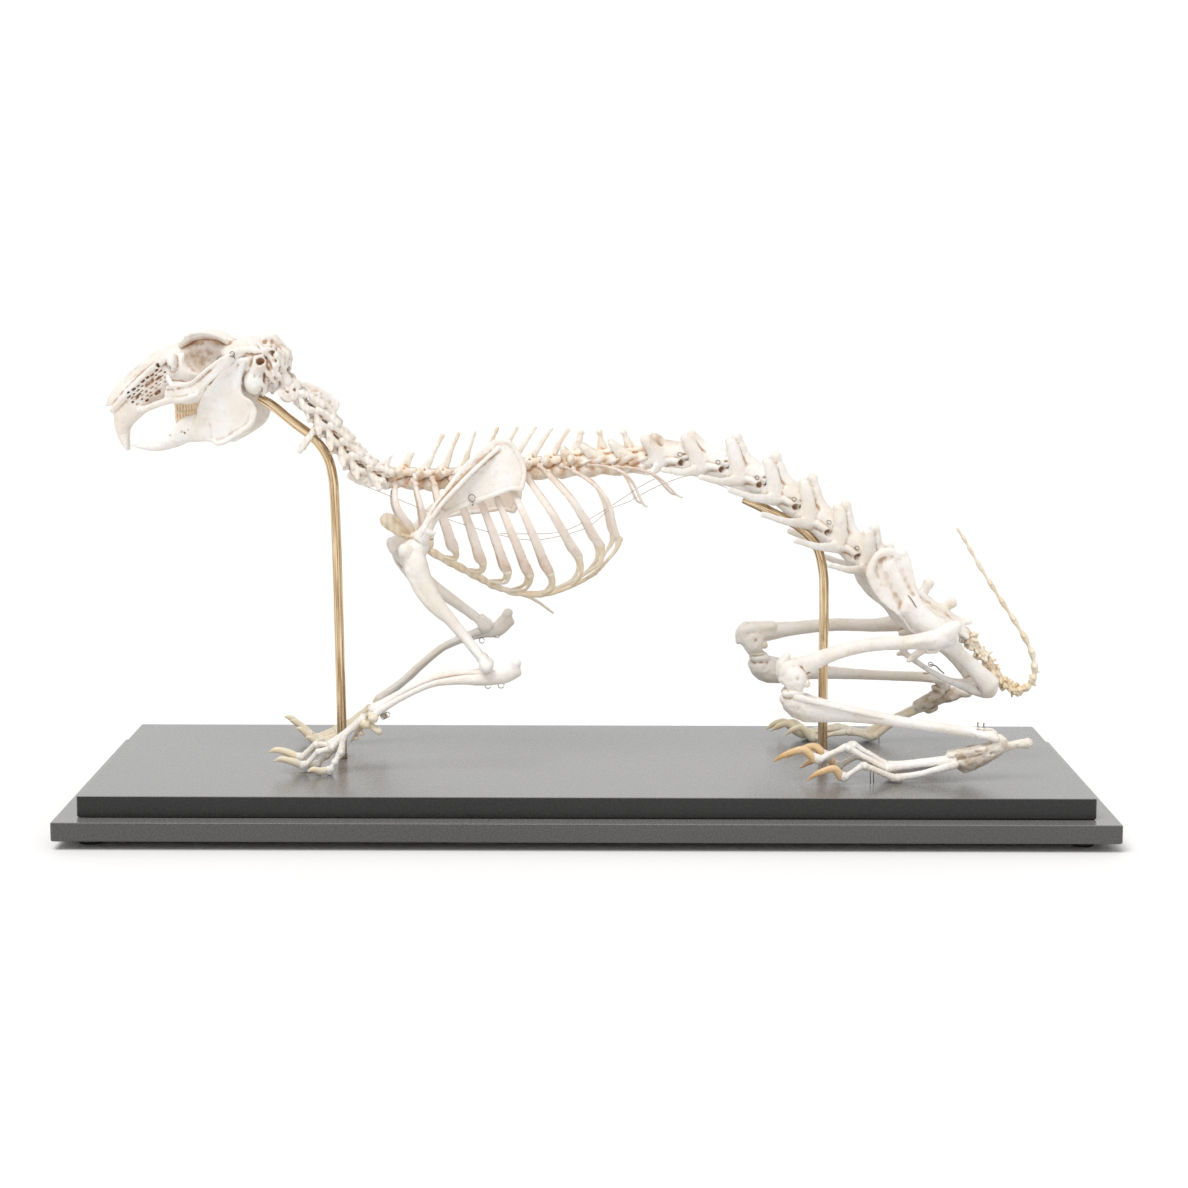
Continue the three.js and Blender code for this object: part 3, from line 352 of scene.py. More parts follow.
def loft(rings):
    """A closed skin over a row of rings with the same even number of points."""
    rings = np.asarray(rings, float)
    rows, sides = rings.shape[:2]
    i = np.arange(sides)
    faces = [np.stack([r * sides + i, r * sides + (i + 1) % sides, (r + 1) * sides + (i + 1) % sides,
                       (r + 1) * sides + i], 1) for r in range(rows - 1)]
    fan = np.array([[0, k, k + 1, k + 2] for k in range(1, sides - 2, 2)])
    return rings.reshape(-1, 3), np.concatenate([*faces, fan[:, ::-1], fan + (rows - 1) * sides])


def tube(path, radii, sides=10, per=4):
    """A round bar or wire along a smooth path."""
    radii = radii if np.ndim(radii) else [radii] * len(path)
    line = curve([[*p, r] for p, r in zip(path, radii)], per)
    places = line[:, :3]
    rings = []
    u = None
    for i, place in enumerate(places):
        t = unit(places[min(i + 1, len(places) - 1)] - places[max(i - 1, 0)])
        u = np.cross(t, (0.31, 0.17, 0.93)) if u is None else u - t * u.dot(t)
        u = unit(u)
        v = np.cross(t, u)
        turn = np.arange(sides) * 2 * np.pi / sides
        rings.append(place + line[i, 3] * (np.cos(turn)[:, None] * u + np.sin(turn)[:, None] * v))
    return loft(rings)


def ring(centre, radius, axis, wire=0.2):
    """A small open wire ring."""
    u = unit(np.cross(axis, (0.2, 0.3, 1)))
    v = unit(np.cross(axis, u))
    turns = np.linspace(0.3, 2 * np.pi - 0.1, 12)
    path = [np.asarray(centre) + radius * (math.cos(a) * u + math.sin(a) * v) for a in turns]
    return tube(path, wire, 6, 2)


# Placing a mesh as a piece of the model
def hollows(points, faces, rounds=9, gain=2.6):
    """How hollow the surface is at each vertex, from 0 on open bone to 1 in its deepest creases."""
    corners = faces.ravel()
    count = np.maximum(np.bincount(corners, minlength=len(points)), 1)

    def spread(values):
        shared = np.repeat(values, 4, 0)
        sums = [np.bincount(corners, shared[:, k], len(points)) for k in range(3)]
        return np.stack(sums, 1) / count[:, None]

    a, b, c, d = (points[faces[:, k]] for k in range(4))
    normal = spread(np.cross(c - a, d - b))
    normal /= np.maximum(np.linalg.norm(normal, axis=1), 1e-9)[:, None]
    soft = points
    for _ in range(rounds):
        soft = spread(soft[faces].mean(1))
    return np.clip(((soft - points) * normal).sum(1) * gain, 0, 1)


def put(name, shape, look, node=None, stain_and_shade=None, smooth=True):
    """Makes a piece that rides on the model, keeping for its look how hollow each vertex is, for painted
    shade in creases, and its stains, which on the skull hold painted shade too.
    """
    points, faces = shape
    data = bpy.data.meshes.new(name)
    data.from_pydata((points * MM).tolist(), [], faces.tolist())
    data.polygons.foreach_set("use_smooth", [smooth] * len(faces))
    # Stains, one value per vertex. On the skull they also carry painted shade in its recesses.
    stain_and_shade_values = stain_and_shade(*points.T) if stain_and_shade else np.zeros(len(points))
    for key, values in (("hollow", hollows(points, faces)), ("stain_and_shade", np.clip(stain_and_shade_values, 0, 1))):
        data.attributes.new(key, "FLOAT", "POINT").data.foreach_set("value", values.astype(np.float32))
    data.materials.append(look)
    piece = bpy.data.objects.new(name, data)
    bpy.context.scene.collection.objects.link(piece)
    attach(piece, "root")
    if node:
        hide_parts(node)
    return piece


# Materials
class Shader:
    """A node tree with short calls for what every material here needs."""

    def __init__(self, name):
        self.material = bpy.data.materials.new(name)
        self.material.use_nodes = True
        self.tree = self.material.node_tree
        self.tree.nodes.clear()
        self.place = self.node("TexCoord").outputs["Object"]
        self.normal = self.node("TexCoord").outputs["Normal"]

    def node(self, kind, inputs=None, **settings):
        node = self.tree.nodes.new("ShaderNode" + kind)
        for key, value in settings.items():
            setattr(node, key, value)
        for key, value in (inputs or {}).items():
            if isinstance(value, bpy.types.NodeSocket):
                self.tree.links.new(value, node.inputs[key])
            else:
                node.inputs[key].default_value = value
        return node

    def noise(self, scale, detail=3, stretch=(1, 1, 1)):
        place = self.node("Mapping", {"Vector": self.place, "Scale": stretch}).outputs[0]
        return self.node("TexNoise", {"Vector": place, "Scale": scale, "Detail": detail}).outputs["Fac"]

    def sum(self, a, b, how="ADD"):
        return self.node("Math", {0: a, 1: b}, operation=how).outputs[0]

    def between(self, value, low, high, least=0.0, most=1.0):
        return self.node("MapRange", {"Value": value, "From Min": low, "From Max": high, "To Min": least,
                                      "To Max": most}).outputs[0]

    def mix(self, share, a, b):
        colours = {k: (*c, 1) if isinstance(c, tuple) else c for k, c in (("Color1", a), ("Color2", b))}
        return self.node("MixRGB", {"Fac": share, **colours}).outputs[0]

    def attribute(self, name):
        return self.node("Attribute", attribute_name=name).outputs["Fac"]

    def bump(self, height, strength, distance):
        inputs = {"Height": height, "Strength": strength, "Distance": distance}
        return self.node("Bump", inputs).outputs[0]

    def finish(self, **inputs):
        names = {k.replace("_", " "): v for k, v in inputs.items()}
        names["Base Color"] = names.pop("Colour")
        surface = self.node("BsdfPrincipled", names).outputs[0]
        self.node("OutputMaterial", {"Surface": surface})
        return self.material


def bone_look(name, pale, warm, brown, crease_shade=1.0, spots=0.3, roughness=0.4, pores=0.5):
    """Dry bone: pale and warm patches, tan specks, creases painted darker brown as shade, fine pores and a
    soft gloss.
    """
    s = Shader(name)
    broad = s.noise(55, 4)
    fine = s.noise(380, 5)
    grainy = s.noise(1400, 3)
    streak = s.noise(260, 3, (0.35, 1, 0.35))
    colour = s.mix(s.between(broad, 0.38, 0.66), pale, warm)
    colour = s.mix(s.between(fine, 0.56, 0.8, 0, spots), colour,
                   tuple(mix(np.array(warm), np.array(brown), 0.45)))
    colour = s.mix(s.between(streak, 0.6, 0.8, 0, 0.18), colour, brown)
    ragged = s.between(fine, 0.3, 0.7, 0.45, 1.3)
    # Painted shade: the more hollow the surface, the browner it is painted. The per-vertex stains, which on
    # the skull hold more painted shade, are added to it.
    crevice_shade = s.sum(s.between(s.attribute("hollow"), 0.06, 0.6), crease_shade, "MULTIPLY")
    tint = s.sum(s.sum(crevice_shade, s.attribute("stain_and_shade")), ragged, "MULTIPLY")
    colour = s.mix(s.between(tint, 0.05, 1, 0, 0.85), colour, brown)
    # Painted shade: the deepest hollows are painted darker still.
    deepest = s.between(s.attribute("hollow"), 0.5, 1.0, 0, 0.75 * crease_shade)
    colour = s.mix(deepest, colour, tuple(np.array(brown) * (0.55, 0.45, 0.38)))
    cells = s.node("TexVoronoi", {"Vector": s.place, "Scale": 620.0}).outputs["Distance"]
    pits = s.sum(s.between(cells, 0.05, 0.2, 1, 0), s.between(s.noise(130, 2), 0.56, 0.68), "MULTIPLY")
    colour = s.mix(s.sum(pits, pores, "MULTIPLY"), colour, tuple(np.array(brown) * 0.6))
    height = s.sum(s.sum(s.sum(fine, grainy), broad), s.sum(pits, 1.2, "MULTIPLY"), "SUBTRACT")
    gloss = s.between(grainy, 0.3, 0.7, roughness - 0.06, roughness + 0.12)
    return s.finish(Colour=colour, Roughness=gloss, Subsurface_Weight=0.15,
                    Subsurface_Radius=(1.0, 0.6, 0.35), Subsurface_Scale=0.0025, Specular_IOR_Level=0.45,
                    Normal=s.bump(height, 0.5, 0.0006))


def brass_look():
    """Bent rod: golden brass with long pale and dark streaks that follow which way the surface faces, as
    painted reflection, and fine drawing marks.
    """
    s = Shader("brass")
    # Painted reflection: the streaks are read from the surface's facing, so each side of the rod keeps its
    # own pale or dark band.
    drift = s.node("Mapping", {"Vector": s.place, "Scale": (9, 9, 9)}).outputs[0]
    around = s.node("VectorMath", {0: s.normal, 1: drift}, operation="ADD").outputs[0]
    length = s.node("TexNoise", {"Vector": around, "Scale": 4.5, "Detail": 4}).outputs["Fac"]
    blotch = s.noise(160, 4, (1, 1, 0.5))
    colour = s.mix(s.between(length, 0.36, 0.62), (0.93, 0.76, 0.52), (0.4, 0.25, 0.12))
    colour = s.mix(s.between(blotch, 0.6, 0.78, 0, 0.6), colour, (0.16, 0.09, 0.04))
    return s.finish(Colour=colour, Metallic=1.0, Roughness=s.between(length, 0.3, 0.7, 0.16, 0.34),
                    Normal=s.bump(s.sum(length, s.noise(900, 2)), 0.12, 0.0003))


def slab_look(name, dark, light, top):
    """Satin painted board: fine pores, faint rubbed patches, and a top painted paler than its sides as
    painted light.
    """
    s = Shader(name)
    grit = s.noise(1100, 4)
    rub = s.noise(9, 3, (0.5, 1, 1))
    colour = s.mix(s.between(grit, 0.35, 0.7), dark, light)
    colour = s.mix(s.between(rub, 0.4, 0.7, 0, 0.3), colour, tuple(np.array(light) * 1.15))
    # Painted light: faces that point up take the paler top colour, standing in for the light and reflection
    # that fall on the top.
    upright = s.node("SeparateXYZ", {"Vector": s.normal}).outputs["Z"]
    above = s.between(upright, 0.5, 0.95)
    colour = s.mix(above, colour, s.mix(s.between(grit, 0.35, 0.7), tuple(np.array(top) * 0.93), top))
    return s.finish(Colour=colour, Roughness=s.between(grit, 0.3, 0.7, 0.2, 0.34),
                    Specular_IOR_Level=s.between(above, 0, 1, 0.35, 1.0), Normal=s.bump(grit, 0.05, 0.0002))


def claw_look(name, tip, root):
    """Horn: streaked along its length, darker to the tip, glossy."""
    s = Shader(name)
    streak = s.noise(300, 4, (0.3, 1.4, 1))
    share = s.sum(s.between(streak, 0.35, 0.7, 0, 0.5), s.attribute("stain_and_shade"))
    colour = s.mix(share, root, tip)
    return s.finish(Colour=colour, Roughness=0.3, Subsurface_Weight=0.25, Subsurface_Radius=(1.0, 0.5, 0.2),
                    Subsurface_Scale=0.002, Normal=s.bump(streak, 0.2, 0.0003))


def plain_look(name, colour, roughness, metallic=0.0):
    """Rubber and wire: one colour with fine darker specks."""
    s = Shader(name)
    speck = s.noise(900, 3)
    tone = s.mix(s.between(speck, 0.3, 0.75), colour, tuple(np.array(colour) * 0.6))
    return s.finish(Colour=tone, Roughness=s.between(speck, 0.3, 0.7, roughness, roughness + 0.15),
                    Metallic=metallic, Normal=s.bump(speck, 0.15, 0.0002))


IVORY = bone_look("ivory", pale=(0.93, 0.91, 0.88), warm=(0.86, 0.79, 0.71), brown=(0.5, 0.31, 0.17),
                  crease_shade=1.3, spots=0.42)
SHADED = bone_look("shaded ivory", pale=(0.93, 0.89, 0.84), warm=(0.87, 0.8, 0.71), brown=(0.48, 0.3, 0.16),
                   crease_shade=1.3, spots=0.5)
HEEL = bone_look("heel bone", pale=(0.91, 0.87, 0.81), warm=(0.82, 0.74, 0.63), brown=(0.4, 0.29, 0.18),
                 crease_shade=1.3, spots=0.5)
RIB = bone_look("rib bone", pale=(0.9, 0.82, 0.75), warm=(0.82, 0.7, 0.61), brown=(0.5, 0.29, 0.15),
                crease_shade=1.2, spots=0.5)
STAINED = bone_look("stained bone", pale=(0.93, 0.89, 0.83), warm=(0.86, 0.73, 0.57),
                    brown=(0.58, 0.29, 0.1), crease_shade=2.0, spots=0.55)
CREAM = bone_look("cream bone", pale=(0.88, 0.82, 0.7), warm=(0.82, 0.69, 0.5), brown=(0.52, 0.29, 0.1),
                  crease_shade=1.2, spots=0.5, roughness=0.36)
GRISTLE = bone_look("gristle", pale=(0.87, 0.8, 0.68), warm=(0.8, 0.66, 0.47), brown=(0.6, 0.35, 0.13),
                    crease_shade=1.1, spots=0.5, roughness=0.3, pores=0.1)
TOOTH = bone_look("tooth", pale=(0.86, 0.76, 0.62), warm=(0.78, 0.6, 0.4), brown=(0.45, 0.22, 0.07),
                  crease_shade=1.6, spots=0.4, roughness=0.22, pores=0.0)
AMBER = claw_look("amber claw", tip=(0.66, 0.38, 0.15), root=(0.86, 0.68, 0.43))
PALE_CLAW = claw_look("pale claw", tip=(0.8, 0.68, 0.46), root=(0.86, 0.8, 0.66))
BRASS = brass_look()
# Each slab's top colour is painted light, far paler than its sides.
LOWER_SLAB = slab_look("lower slab", dark=(0.07, 0.068, 0.066), light=(0.1, 0.098, 0.095),
                       top=(0.21, 0.207, 0.203))
UPPER_SLAB = slab_look("upper slab", dark=(0.016, 0.0156, 0.0154), light=(0.03, 0.0294, 0.029),
                       top=(0.19, 0.188, 0.187))
RUBBER = plain_look("rubber", (0.02, 0.02, 0.021), 0.6)
WIRE = plain_look("wire", (0.3, 0.27, 0.24), 0.35, 1.0)
FINE_WIRE = plain_look("fine wire", (0.62, 0.47, 0.34), 0.4, 0.6)


# Stand: two slabs with softened edges, four rubber feet and two bent brass rods
LOWER_HALF = (250, 100)
UPPER_HALF = (239.5, 89.5)
FOOT_PLACES = ((-234, -84), (-234, 84), (234, -84), (234, 84))
FOOT_PROFILE = ((5, 0), (5.8, 0.5), (6, 1.2), (6, 3.2), (5.6, 3.65))
ROD_RADIUS = 2.4


def slab_shape(half_x, half_y, bottom, top, corner=1.6, edge=0.7):
    """A board with rounded corners and slightly softened edges."""
    rings = []
    for inset, z in ((edge, bottom), (edge * 0.3, bottom + edge * 0.3), (0, bottom + edge), (0, top - edge),
                     (edge * 0.3, top - edge * 0.3), (edge, top)):
        ring_points = []
        for quarter, (sx, sy) in enumerate(((1, 1), (-1, 1), (-1, -1), (1, -1))):
            for step in range(4):
                a = math.radians(90 * quarter + 30 * step)
                ring_points.append((sx * (half_x - corner) + (corner - inset) * math.cos(a),
                                    sy * (half_y - corner) + (corner - inset) * math.sin(a), z))
        rings.append(ring_points)
    return loft(rings)


FRONT_ROD = [(-123, 0, 23.4), (-123.5, 0, 60), (-125.4, 0, 151), (-126.4, 0, 166), (-129, 0, 175.5),
             (-135.5, 0, 184.5), (-147, 0, 193.5), (-157, 0, 201.5), (-162.5, 0, 204.5)]
REAR_ROD = [(118.5, 0, 23.4), (118, 0, 60), (117.9, 0, 104), (117.2, 0, 119), (113.5, 0, 132),
            (105, 0, 141), (95, 0, 146.5), (84.5, 0, 151.7), (77, 0, 154.9)]


def add_stand():
    """Both slabs, the feet and the rods."""
    put("base_lower", slab_shape(*LOWER_HALF, 4, 13), LOWER_SLAB, "stand_base_lower", smooth=False)
    put("base_upper", slab_shape(*UPPER_HALF, 13.3, GROUND), UPPER_SLAB, "stand_base_upper",
        smooth=False)
    for i, (x, y) in enumerate(FOOT_PLACES):
        turn = np.arange(28) * 2 * np.pi / 28
        rings = [[(x + r * math.cos(a), y + r * math.sin(a), z) for a in turn] for r, z in FOOT_PROFILE]
        put(f"foot_{i + 1}", loft(rings), RUBBER, f"stand_foot_{i + 1}")
    for name, path in (("front", FRONT_ROD), ("rear", REAR_ROD)):
        radii = [ROD_RADIUS] * (len(path) - 1) + [2.1]
        put(f"rod_{name}", tube(path, radii, 28, 10), BRASS, f"stand_rod_{name}")


# Skull: drawn in its own side view, then turned a little about the neck joint
HEAD_TURN = math.radians(7)
NECK_JOINT = (-146, 0)


def turn_head(shape):
    """Turned about the upright through the neck joint."""
    points, faces = shape
    x, y = points[:, 0] - NECK_JOINT[0], points[:, 1]
    c, s = math.cos(HEAD_TURN), math.sin(HEAD_TURN)
    return np.stack([NECK_JOINT[0] + x * c + y * s, y * c - x * s, points[:, 2]], 1), faces


def flat(points, widths, y=0.0, **options):
    """A bar whose points are given as (x, z) in the plane y."""
    return bar([(x, y, z) for x, z in points], widths, **options)


def brain_case(b):
    """Snout, brain case, and the shield at the back of the head."""
    b.add(flat([(-239.6, 199.2), (-234.5, 203.2), (-227.5, 207), (-218.5, 211.2), (-206.5, 217),
                (-197, 219.2), (-187, 220.8)],
               [(2.4, 1.2), (4.2, 4.6), (5.6, 7.8), (6.6, 10.6), (8.2, 12.4), (9, 12), (6, 11)]))
    b.add(flat([(-187, 221), (-176.5, 222)], [(6, 11), (9, 10.6)]))
    b.add(ball((-165.5, 0, 222), (15, 13.4, 12.6)), 3)
    b.add(ball((-154, 0, 220.5), (7, 10.4, 11)), 3)
    b.add(flat([(-190, 208.5), (-172, 208), (-152, 211)], [(6, 3), (5, 2.8), (5, 3)]), 2)
    b.add(plate([(-159, 224), (-158, 235.4), (-153.6, 235.2), (-150.2, 230.4), (-146.4, 226.8),
                 (-147.6, 220.6), (-151, 214)], 0, 4.4), 1.6)


def eye_socket(b, s):
    """The socket, the joint with the neck below it, and the roof edge over the eye."""
    b.cut(ball((-188.8, s * 13.8, 224.4), (12, 11, 10.6)), 0.8)
    b.cut(ball((-183.4, s * 12.5, 222), (7, 9, 6.4)), 0.9)
    b.add(flat([(-202, 227.5), (-190, 231.2), (-177, 230.2)], [(3.2, 4), (2.8, 4.2), (4, 4)]), 1)
    b.add(ball((-147.6, s * 4.2, 212.4), (3, 2.8, 4.4)), 1)
    b.add(bar(beside(s, [(-155.5, 8.6, 217), (-157, 9.2, 211), (-158.4, 9, 206)]), [1.9, 1.6, 0.9]), 1)
    b.add(bar(beside(s, [(-152, 8.5, 229), (-151, 9.8, 222), (-154, 9.6, 214)]), [1.7, 1.9, 1.6]), 1)
    b.add(bar(beside(s, [(-199.6, 5, 230.4), (-194, 6.2, 233.9), (-187.6, 6.6, 235), (-181.6, 6, 233.9),
                         (-177, 5, 231.6)]),
              [(3, 1.3), (5, 0.6), (5.4, 0.55), (4.6, 0.6), (2.6, 1.1)], wide=(0, s, 0.4)), 0.8)
    b.add(bar(beside(s, [(-197, 9.8, 234.6), (-191, 11.2, 236.4), (-184.6, 10.8, 236.2), (-180, 9, 234.4)]),
              [0.7, 0.8, 0.8, 0.6]), 0.6)


def ear_capsule(b, s):
    """Ear drum capsule with its upright tube."""
    b.add(ball((-162.4, s * 9.4, 213.2), (5.2, 5.2, 7)), 0.8)
    b.add(bar(beside(s, [(-161.5, 10.4, 216), (-158.8, 13, 222.6)]), [3.6, 3.3]), 0.8)
    b.cut(bar(beside(s, [(-158.4, 13.2, 222.8), (-158, 18, 223.4)]), [1.9, 2.3]), 0.5)


def cheek_bar(b, s):
    """The bowed bar under the eye, with its ridges and its groove."""
    b.add(bar(beside(s, [(-206, 8, 205.6), (-202, 12, 206.6), (-197, 16.2, 207.8), (-189.5, 19.4, 210.6),
                         (-182.5, 20.3, 216), (-175.5, 19.2, 222), (-170, 15.5, 226.2), (-166, 10, 227.2)]),
              [(3.4, 2.2), (3.9, 1.8), (4.1, 1.2), (3.5, 1), (3.1, 0.9), (2.9, 1), (2.4, 1.2), (2.2, 2)],
              wide=(0, 0, 1)), 1.4)
    b.add(bar(beside(s, [(-206.4, 10, 209.4), (-200, 15.4, 210.8), (-191, 19.8, 212.6),
                         (-183.5, 21.2, 218.6), (-176, 19.8, 224.4)]), [0.8, 1, 1, 0.9, 0.8]), 0.7)
    b.add(bar(beside(s, [(-206, 9.6, 214.6), (-203.6, 12.6, 211.6), (-200, 14.6, 209)]),
              [1.1, 1.2, 0.9]), 0.8)
    b.add(bar(beside(s, [(-204, 10.2, 203.4), (-197, 16.6, 203.8), (-188, 20, 207)]), [1.7, 1.5, 1]), 1)
    b.cut(bar(beside(s, [(-199.5, 18.8, 208.6), (-193, 20.8, 209.6), (-186, 22, 213)]),
              [(2, 1.1), (2.3, 1.1), (1.7, 0.9)], wide=(0, 0, 1)), 1)
    b.add(bar(beside(s, [(-172, 18, 226.4), (-166, 13, 228.6), (-158, 12, 228.2), (-153, 10, 229.6)]),
              [1.4, 1.5, 1.2, 1.2]), 1.4)


def upper_jaw(b, s):
    """Sockets of the cheek teeth, front of the upper jaw, and the rims of the lattice."""
    b.add(bar(beside(s, [(-203.5, 8.4, 207), (-196, 9.4, 206.4), (-188.5, 9.2, 206.6)]),
              [(2.4, 5.4), (2.8, 5.8), (2.4, 4.6)]), 1)
    b.add(bar(beside(s, [(-224, 2.6, 204.6), (-229, 2.5, 198), (-231.4, 2.3, 192.8), (-232.1, 2.1, 189.4),
                         (-232, 1.9, 186)]),
              [(2.6, 8.2), (2.5, 7), (2.2, 5), (1.9, 3.7), (1.5, 2.9)]), 1)
    b.add(bar(beside(s, [(-236.4, 3, 197.5), (-228, 5.6, 206), (-217, 7.6, 216.5), (-206, 9.4, 224.6)]),
              [1.5, 1.6, 1.6, 1.8]), 1.2)
    b.add(bar(beside(s, [(-206, 9.6, 203), (-214, 6.6, 200.6), (-222, 4, 197.6)]), [1.7, 1.5, 1.5]), 1.4)
    b.add(ball((-203.6, s * 9.8, 222), (2.4, 3.2, 4.4)), 1.2)


def skull_openings(b):
    """Small holes of the face, the see-through spot between the eyes, the nose and the hole for the cord."""
    for s in (-1, 1):
        b.cut(bar(beside(s, [(-205.6, 12.6, 219.4), (-203, 9, 219.8)]), [1.3, 1]), 0.5)
        b.cut(bar(beside(s, [(-211.4, 11, 220.6), (-210.6, 7, 220.2)]), [(1.1, 1.4), 0.9]), 0.4)
        b.cut(bar(beside(s, [(-203.4, 8, 196), (-203.4, 8, 198)]), [1, 1]), 0.5)
        b.cut(bar(beside(s, [(-170, 15, 216), (-174, 8, 216)]), [(1.2, 1), 1]), 0.6)
    b.cut(bar([(-181, -9, 222.4), (-181, 9, 222.4)], [1.9, 1.9]), 0.7)
    b.cut(flat([(-241.5, 195.6), (-234, 200.6), (-224, 206.5)], [(2.2, 2.6), (3, 3.4), (3, 3.4)]), 0.6)
    b.cut(flat([(-143, 215.6), (-152, 217)], [(3.9, 3.5), (4, 4)]), 0.8)


def rough_back(b):
    """Pits and ridges on the back of the head."""
    rng = np.random.default_rng(5)
    for _ in range(90):
        place = (rng.uniform(-160, -147), rng.choice((-1, 1)) * rng.uniform(6.6, 11.4), rng.uniform(208, 234))
        b.cut(ball(place, (rng.uniform(0.5, 1.3), 1, rng.uniform(0.5, 1.5))), 0.4)
    for s in (-1, 1):
        for x, z, x2, z2 in ((-160, 232, -152, 222), (-157, 220, -152, 212), (-166, 229.6, -157, 229),
                             (-154, 226, -149, 214), (-159.4, 216, -157, 209)):
            b.add(bar([(x, s * 11.2, z), (mix(x, x2, 0.5), s * 11.8, mix(z, z2, 0.5)), (x2, s * 9.8, z2)],
                      [0.8, 1, 0.8]), 0.9)


def lattice(b):
    """Open lattice in each side of the snout: slanting slots between thin struts, and four larger holes."""
    rng = np.random.default_rng(11)
    along, across = unit((0.8, 0.6)), np.array((-0.6, 0.8))

    def slot(s, x, z, half, deep, wide):
        share = (x + 227.5) / 21
        rise = np.clip((z - 207 - 10 * share) / (7.8 + 4.6 * share), -0.9, 0.9)
        side = (5.6 + 2.6 * share) * np.sqrt(1 - rise * rise) + 1.7 - deep
        ends = [(x + k * along[0] * half, s * side, z + k * along[1] * half) for k in (-1, 1)]
        b.cut(bar(ends, [(1.7, wide)] * 2), 0.2)

    for s in (-1, 1):
        for row in range(-4, 5):
            for column in range(-4, 5):
                x, z = (-217.6, 209.4) + along * (column * 3.1 + row % 2 * 1.5) + across * row * 1.6
                x, z = (x, z) + rng.uniform(-0.4, 0.4, 2)
                middle = np.array((x + 217.4, z - 209.6))
                up = middle.dot(across)
                if (middle.dot(along) / 12) ** 2 + (up / 6.4) ** 2 > 1 or up > 3.8:
                    continue
                slot(s, x, z, rng.uniform(0.35, 0.95), 1, rng.uniform(0.38, 0.6))
        for x, z, half, wide in ((-216.4, 211.4, 2, 1), (-212.6, 206.6, 0.9, 1.1), (-211.6, 213.8, 1, 0.8),
                                 (-222.6, 205.2, 1.2, 0.7)):
            slot(s, x, z, half, 1.6, wide)


def skull_bone():
    """Drawn in its own side view, each form joined to those before it."""
    b = Bone(0.5, 1.6)
    brain_case(b)
    for s in (-1, 1):
        eye_socket(b, s)
        ear_capsule(b, s)
        cheek_bar(b, s)
        upper_jaw(b, s)
    skull_openings(b)
    lattice(b)
    rough_back(b)
    return b.mesh(lambda x: mix(0.1, 0.42, np.clip((x + 170) / 12, 0, 1)), 3, 900)


# Each front tooth's curve in the side view and its half sizes
UPPER_INCISOR = ([(-230.6, 192.5), (-232, 188), (-231.6, 183.6), (-230.6, 180.4), (-229.7, 177.8)],
                 [(1.6, 3.2), (1.6, 3.2), (1.5, 2.5), (1.3, 1.5), (1, 0.5)])
LOWER_INCISOR = ([(-213, 179.6), (-218, 179.3), (-222.5, 179.5), (-227.3, 180.2)],
                 [(1.5, 2), (1.5, 1.8), (1.4, 1.3), (1, 0.35)])


def front_tooth(sign, path, widths):
    """A curved incisor beside the mid-plane."""
    return Bone(0.4, 0.6).add(flat(path, widths, sign * 1.75)).mesh(0.03)


def cheek_teeth(sign, first, last, depth, top, bottom, lean):
    """A row of ridged cheek teeth: each is a block of two upright columns."""
    b = Bone(0.4, 0.35)
    for x in np.linspace(first, last, 11):
        b.add(bar([(x, sign * depth, top), (x + lean, sign * (depth - 0.4), bottom)],
                  [(2.1, 0.86), (1.9, 0.8)]))
    return b.mesh(0.08, 4, 20)


def jaw_bone(s):
    """Half of the lower jaw: the broad plate, its thick rims, the joint and the bar to the front teeth."""
    b = Bone(0.5, 1.3)
    outline = [(-192, 184), (-190.4, 197.4), (-187.7, 203.8), (-185, 208), (-178, 216), (-171.5, 221.4),
               (-166.8, 221.1), (-168.2, 216.2), (-169.6, 210), (-168, 206), (-163.6, 204), (-160.3, 199.2),
               (-161.2, 194.3), (-164, 190.4), (-169, 186.8), (-175, 183.4), (-179.6, 181.4), (-184, 183.6)]
    b.add(plate(outline, lambda x, z: s * (13.4 + (z - 200) * 0.06 + (x + 178) * 0.02), 0.95, 0.7, 3))
    b.add(bar(beside(s, [(-184, 12.6, 184), (-179.6, 12.8, 182.6), (-171, 13.4, 187), (-163.6, 13.6, 192.4),
                         (-161.8, 13.8, 198)]), [0.9, 1.1, 1, 0.95, 0.9]), 1.2)
    b.add(bar(beside(s, [(-163.2, 13.8, 202.4), (-168.4, 13.8, 207), (-168.6, 14.2, 214),
                         (-166.8, 14.6, 222)]), [0.9, 1, 1.1, 1.4]), 1.2)
    b.add(bar(beside(s, [(-189.6, 12.6, 199), (-185.4, 13.6, 207), (-178, 14.2, 215.6),
                         (-171, 14.5, 221.6)]), [1.2, 1, 0.95, 1.3]), 1.2)
    b.add(bar(beside(s, [(-169.5, 14.6, 223), (-164.6, 14.4, 223.6)]), [(2, 1.6), (1.8, 1.4)]), 1)
    b.add(bar(beside(s, [(-186, 12, 190.4), (-190.5, 11, 190), (-197, 9.6, 188.6), (-203.5, 7.2, 184.2),
                         (-208, 5, 181.6), (-212.5, 3.1, 180.1), (-217.6, 2, 179.5)]),
              [(1.7, 6.6), (2.6, 7), (3, 6.3), (3, 3.9), (2.8, 3.1), (2.5, 2.7), (1.9, 2.2)]), 1.4)
    b.cut(bar(beside(s, [(-206.4, 11, 186.2), (-205.6, 6, 186)]), [(1.2, 0.9), 0.8]), 0.4)
    rng = np.random.default_rng(8)
    for _ in range(14):
        place = (rng.uniform(-204, -193), s * 12.2, rng.uniform(183.5, 189.5))
        b.cut(ball(place, rng.uniform(0.4, 0.75)), 0.3)
    return b.mesh(0.08, 6, 300)


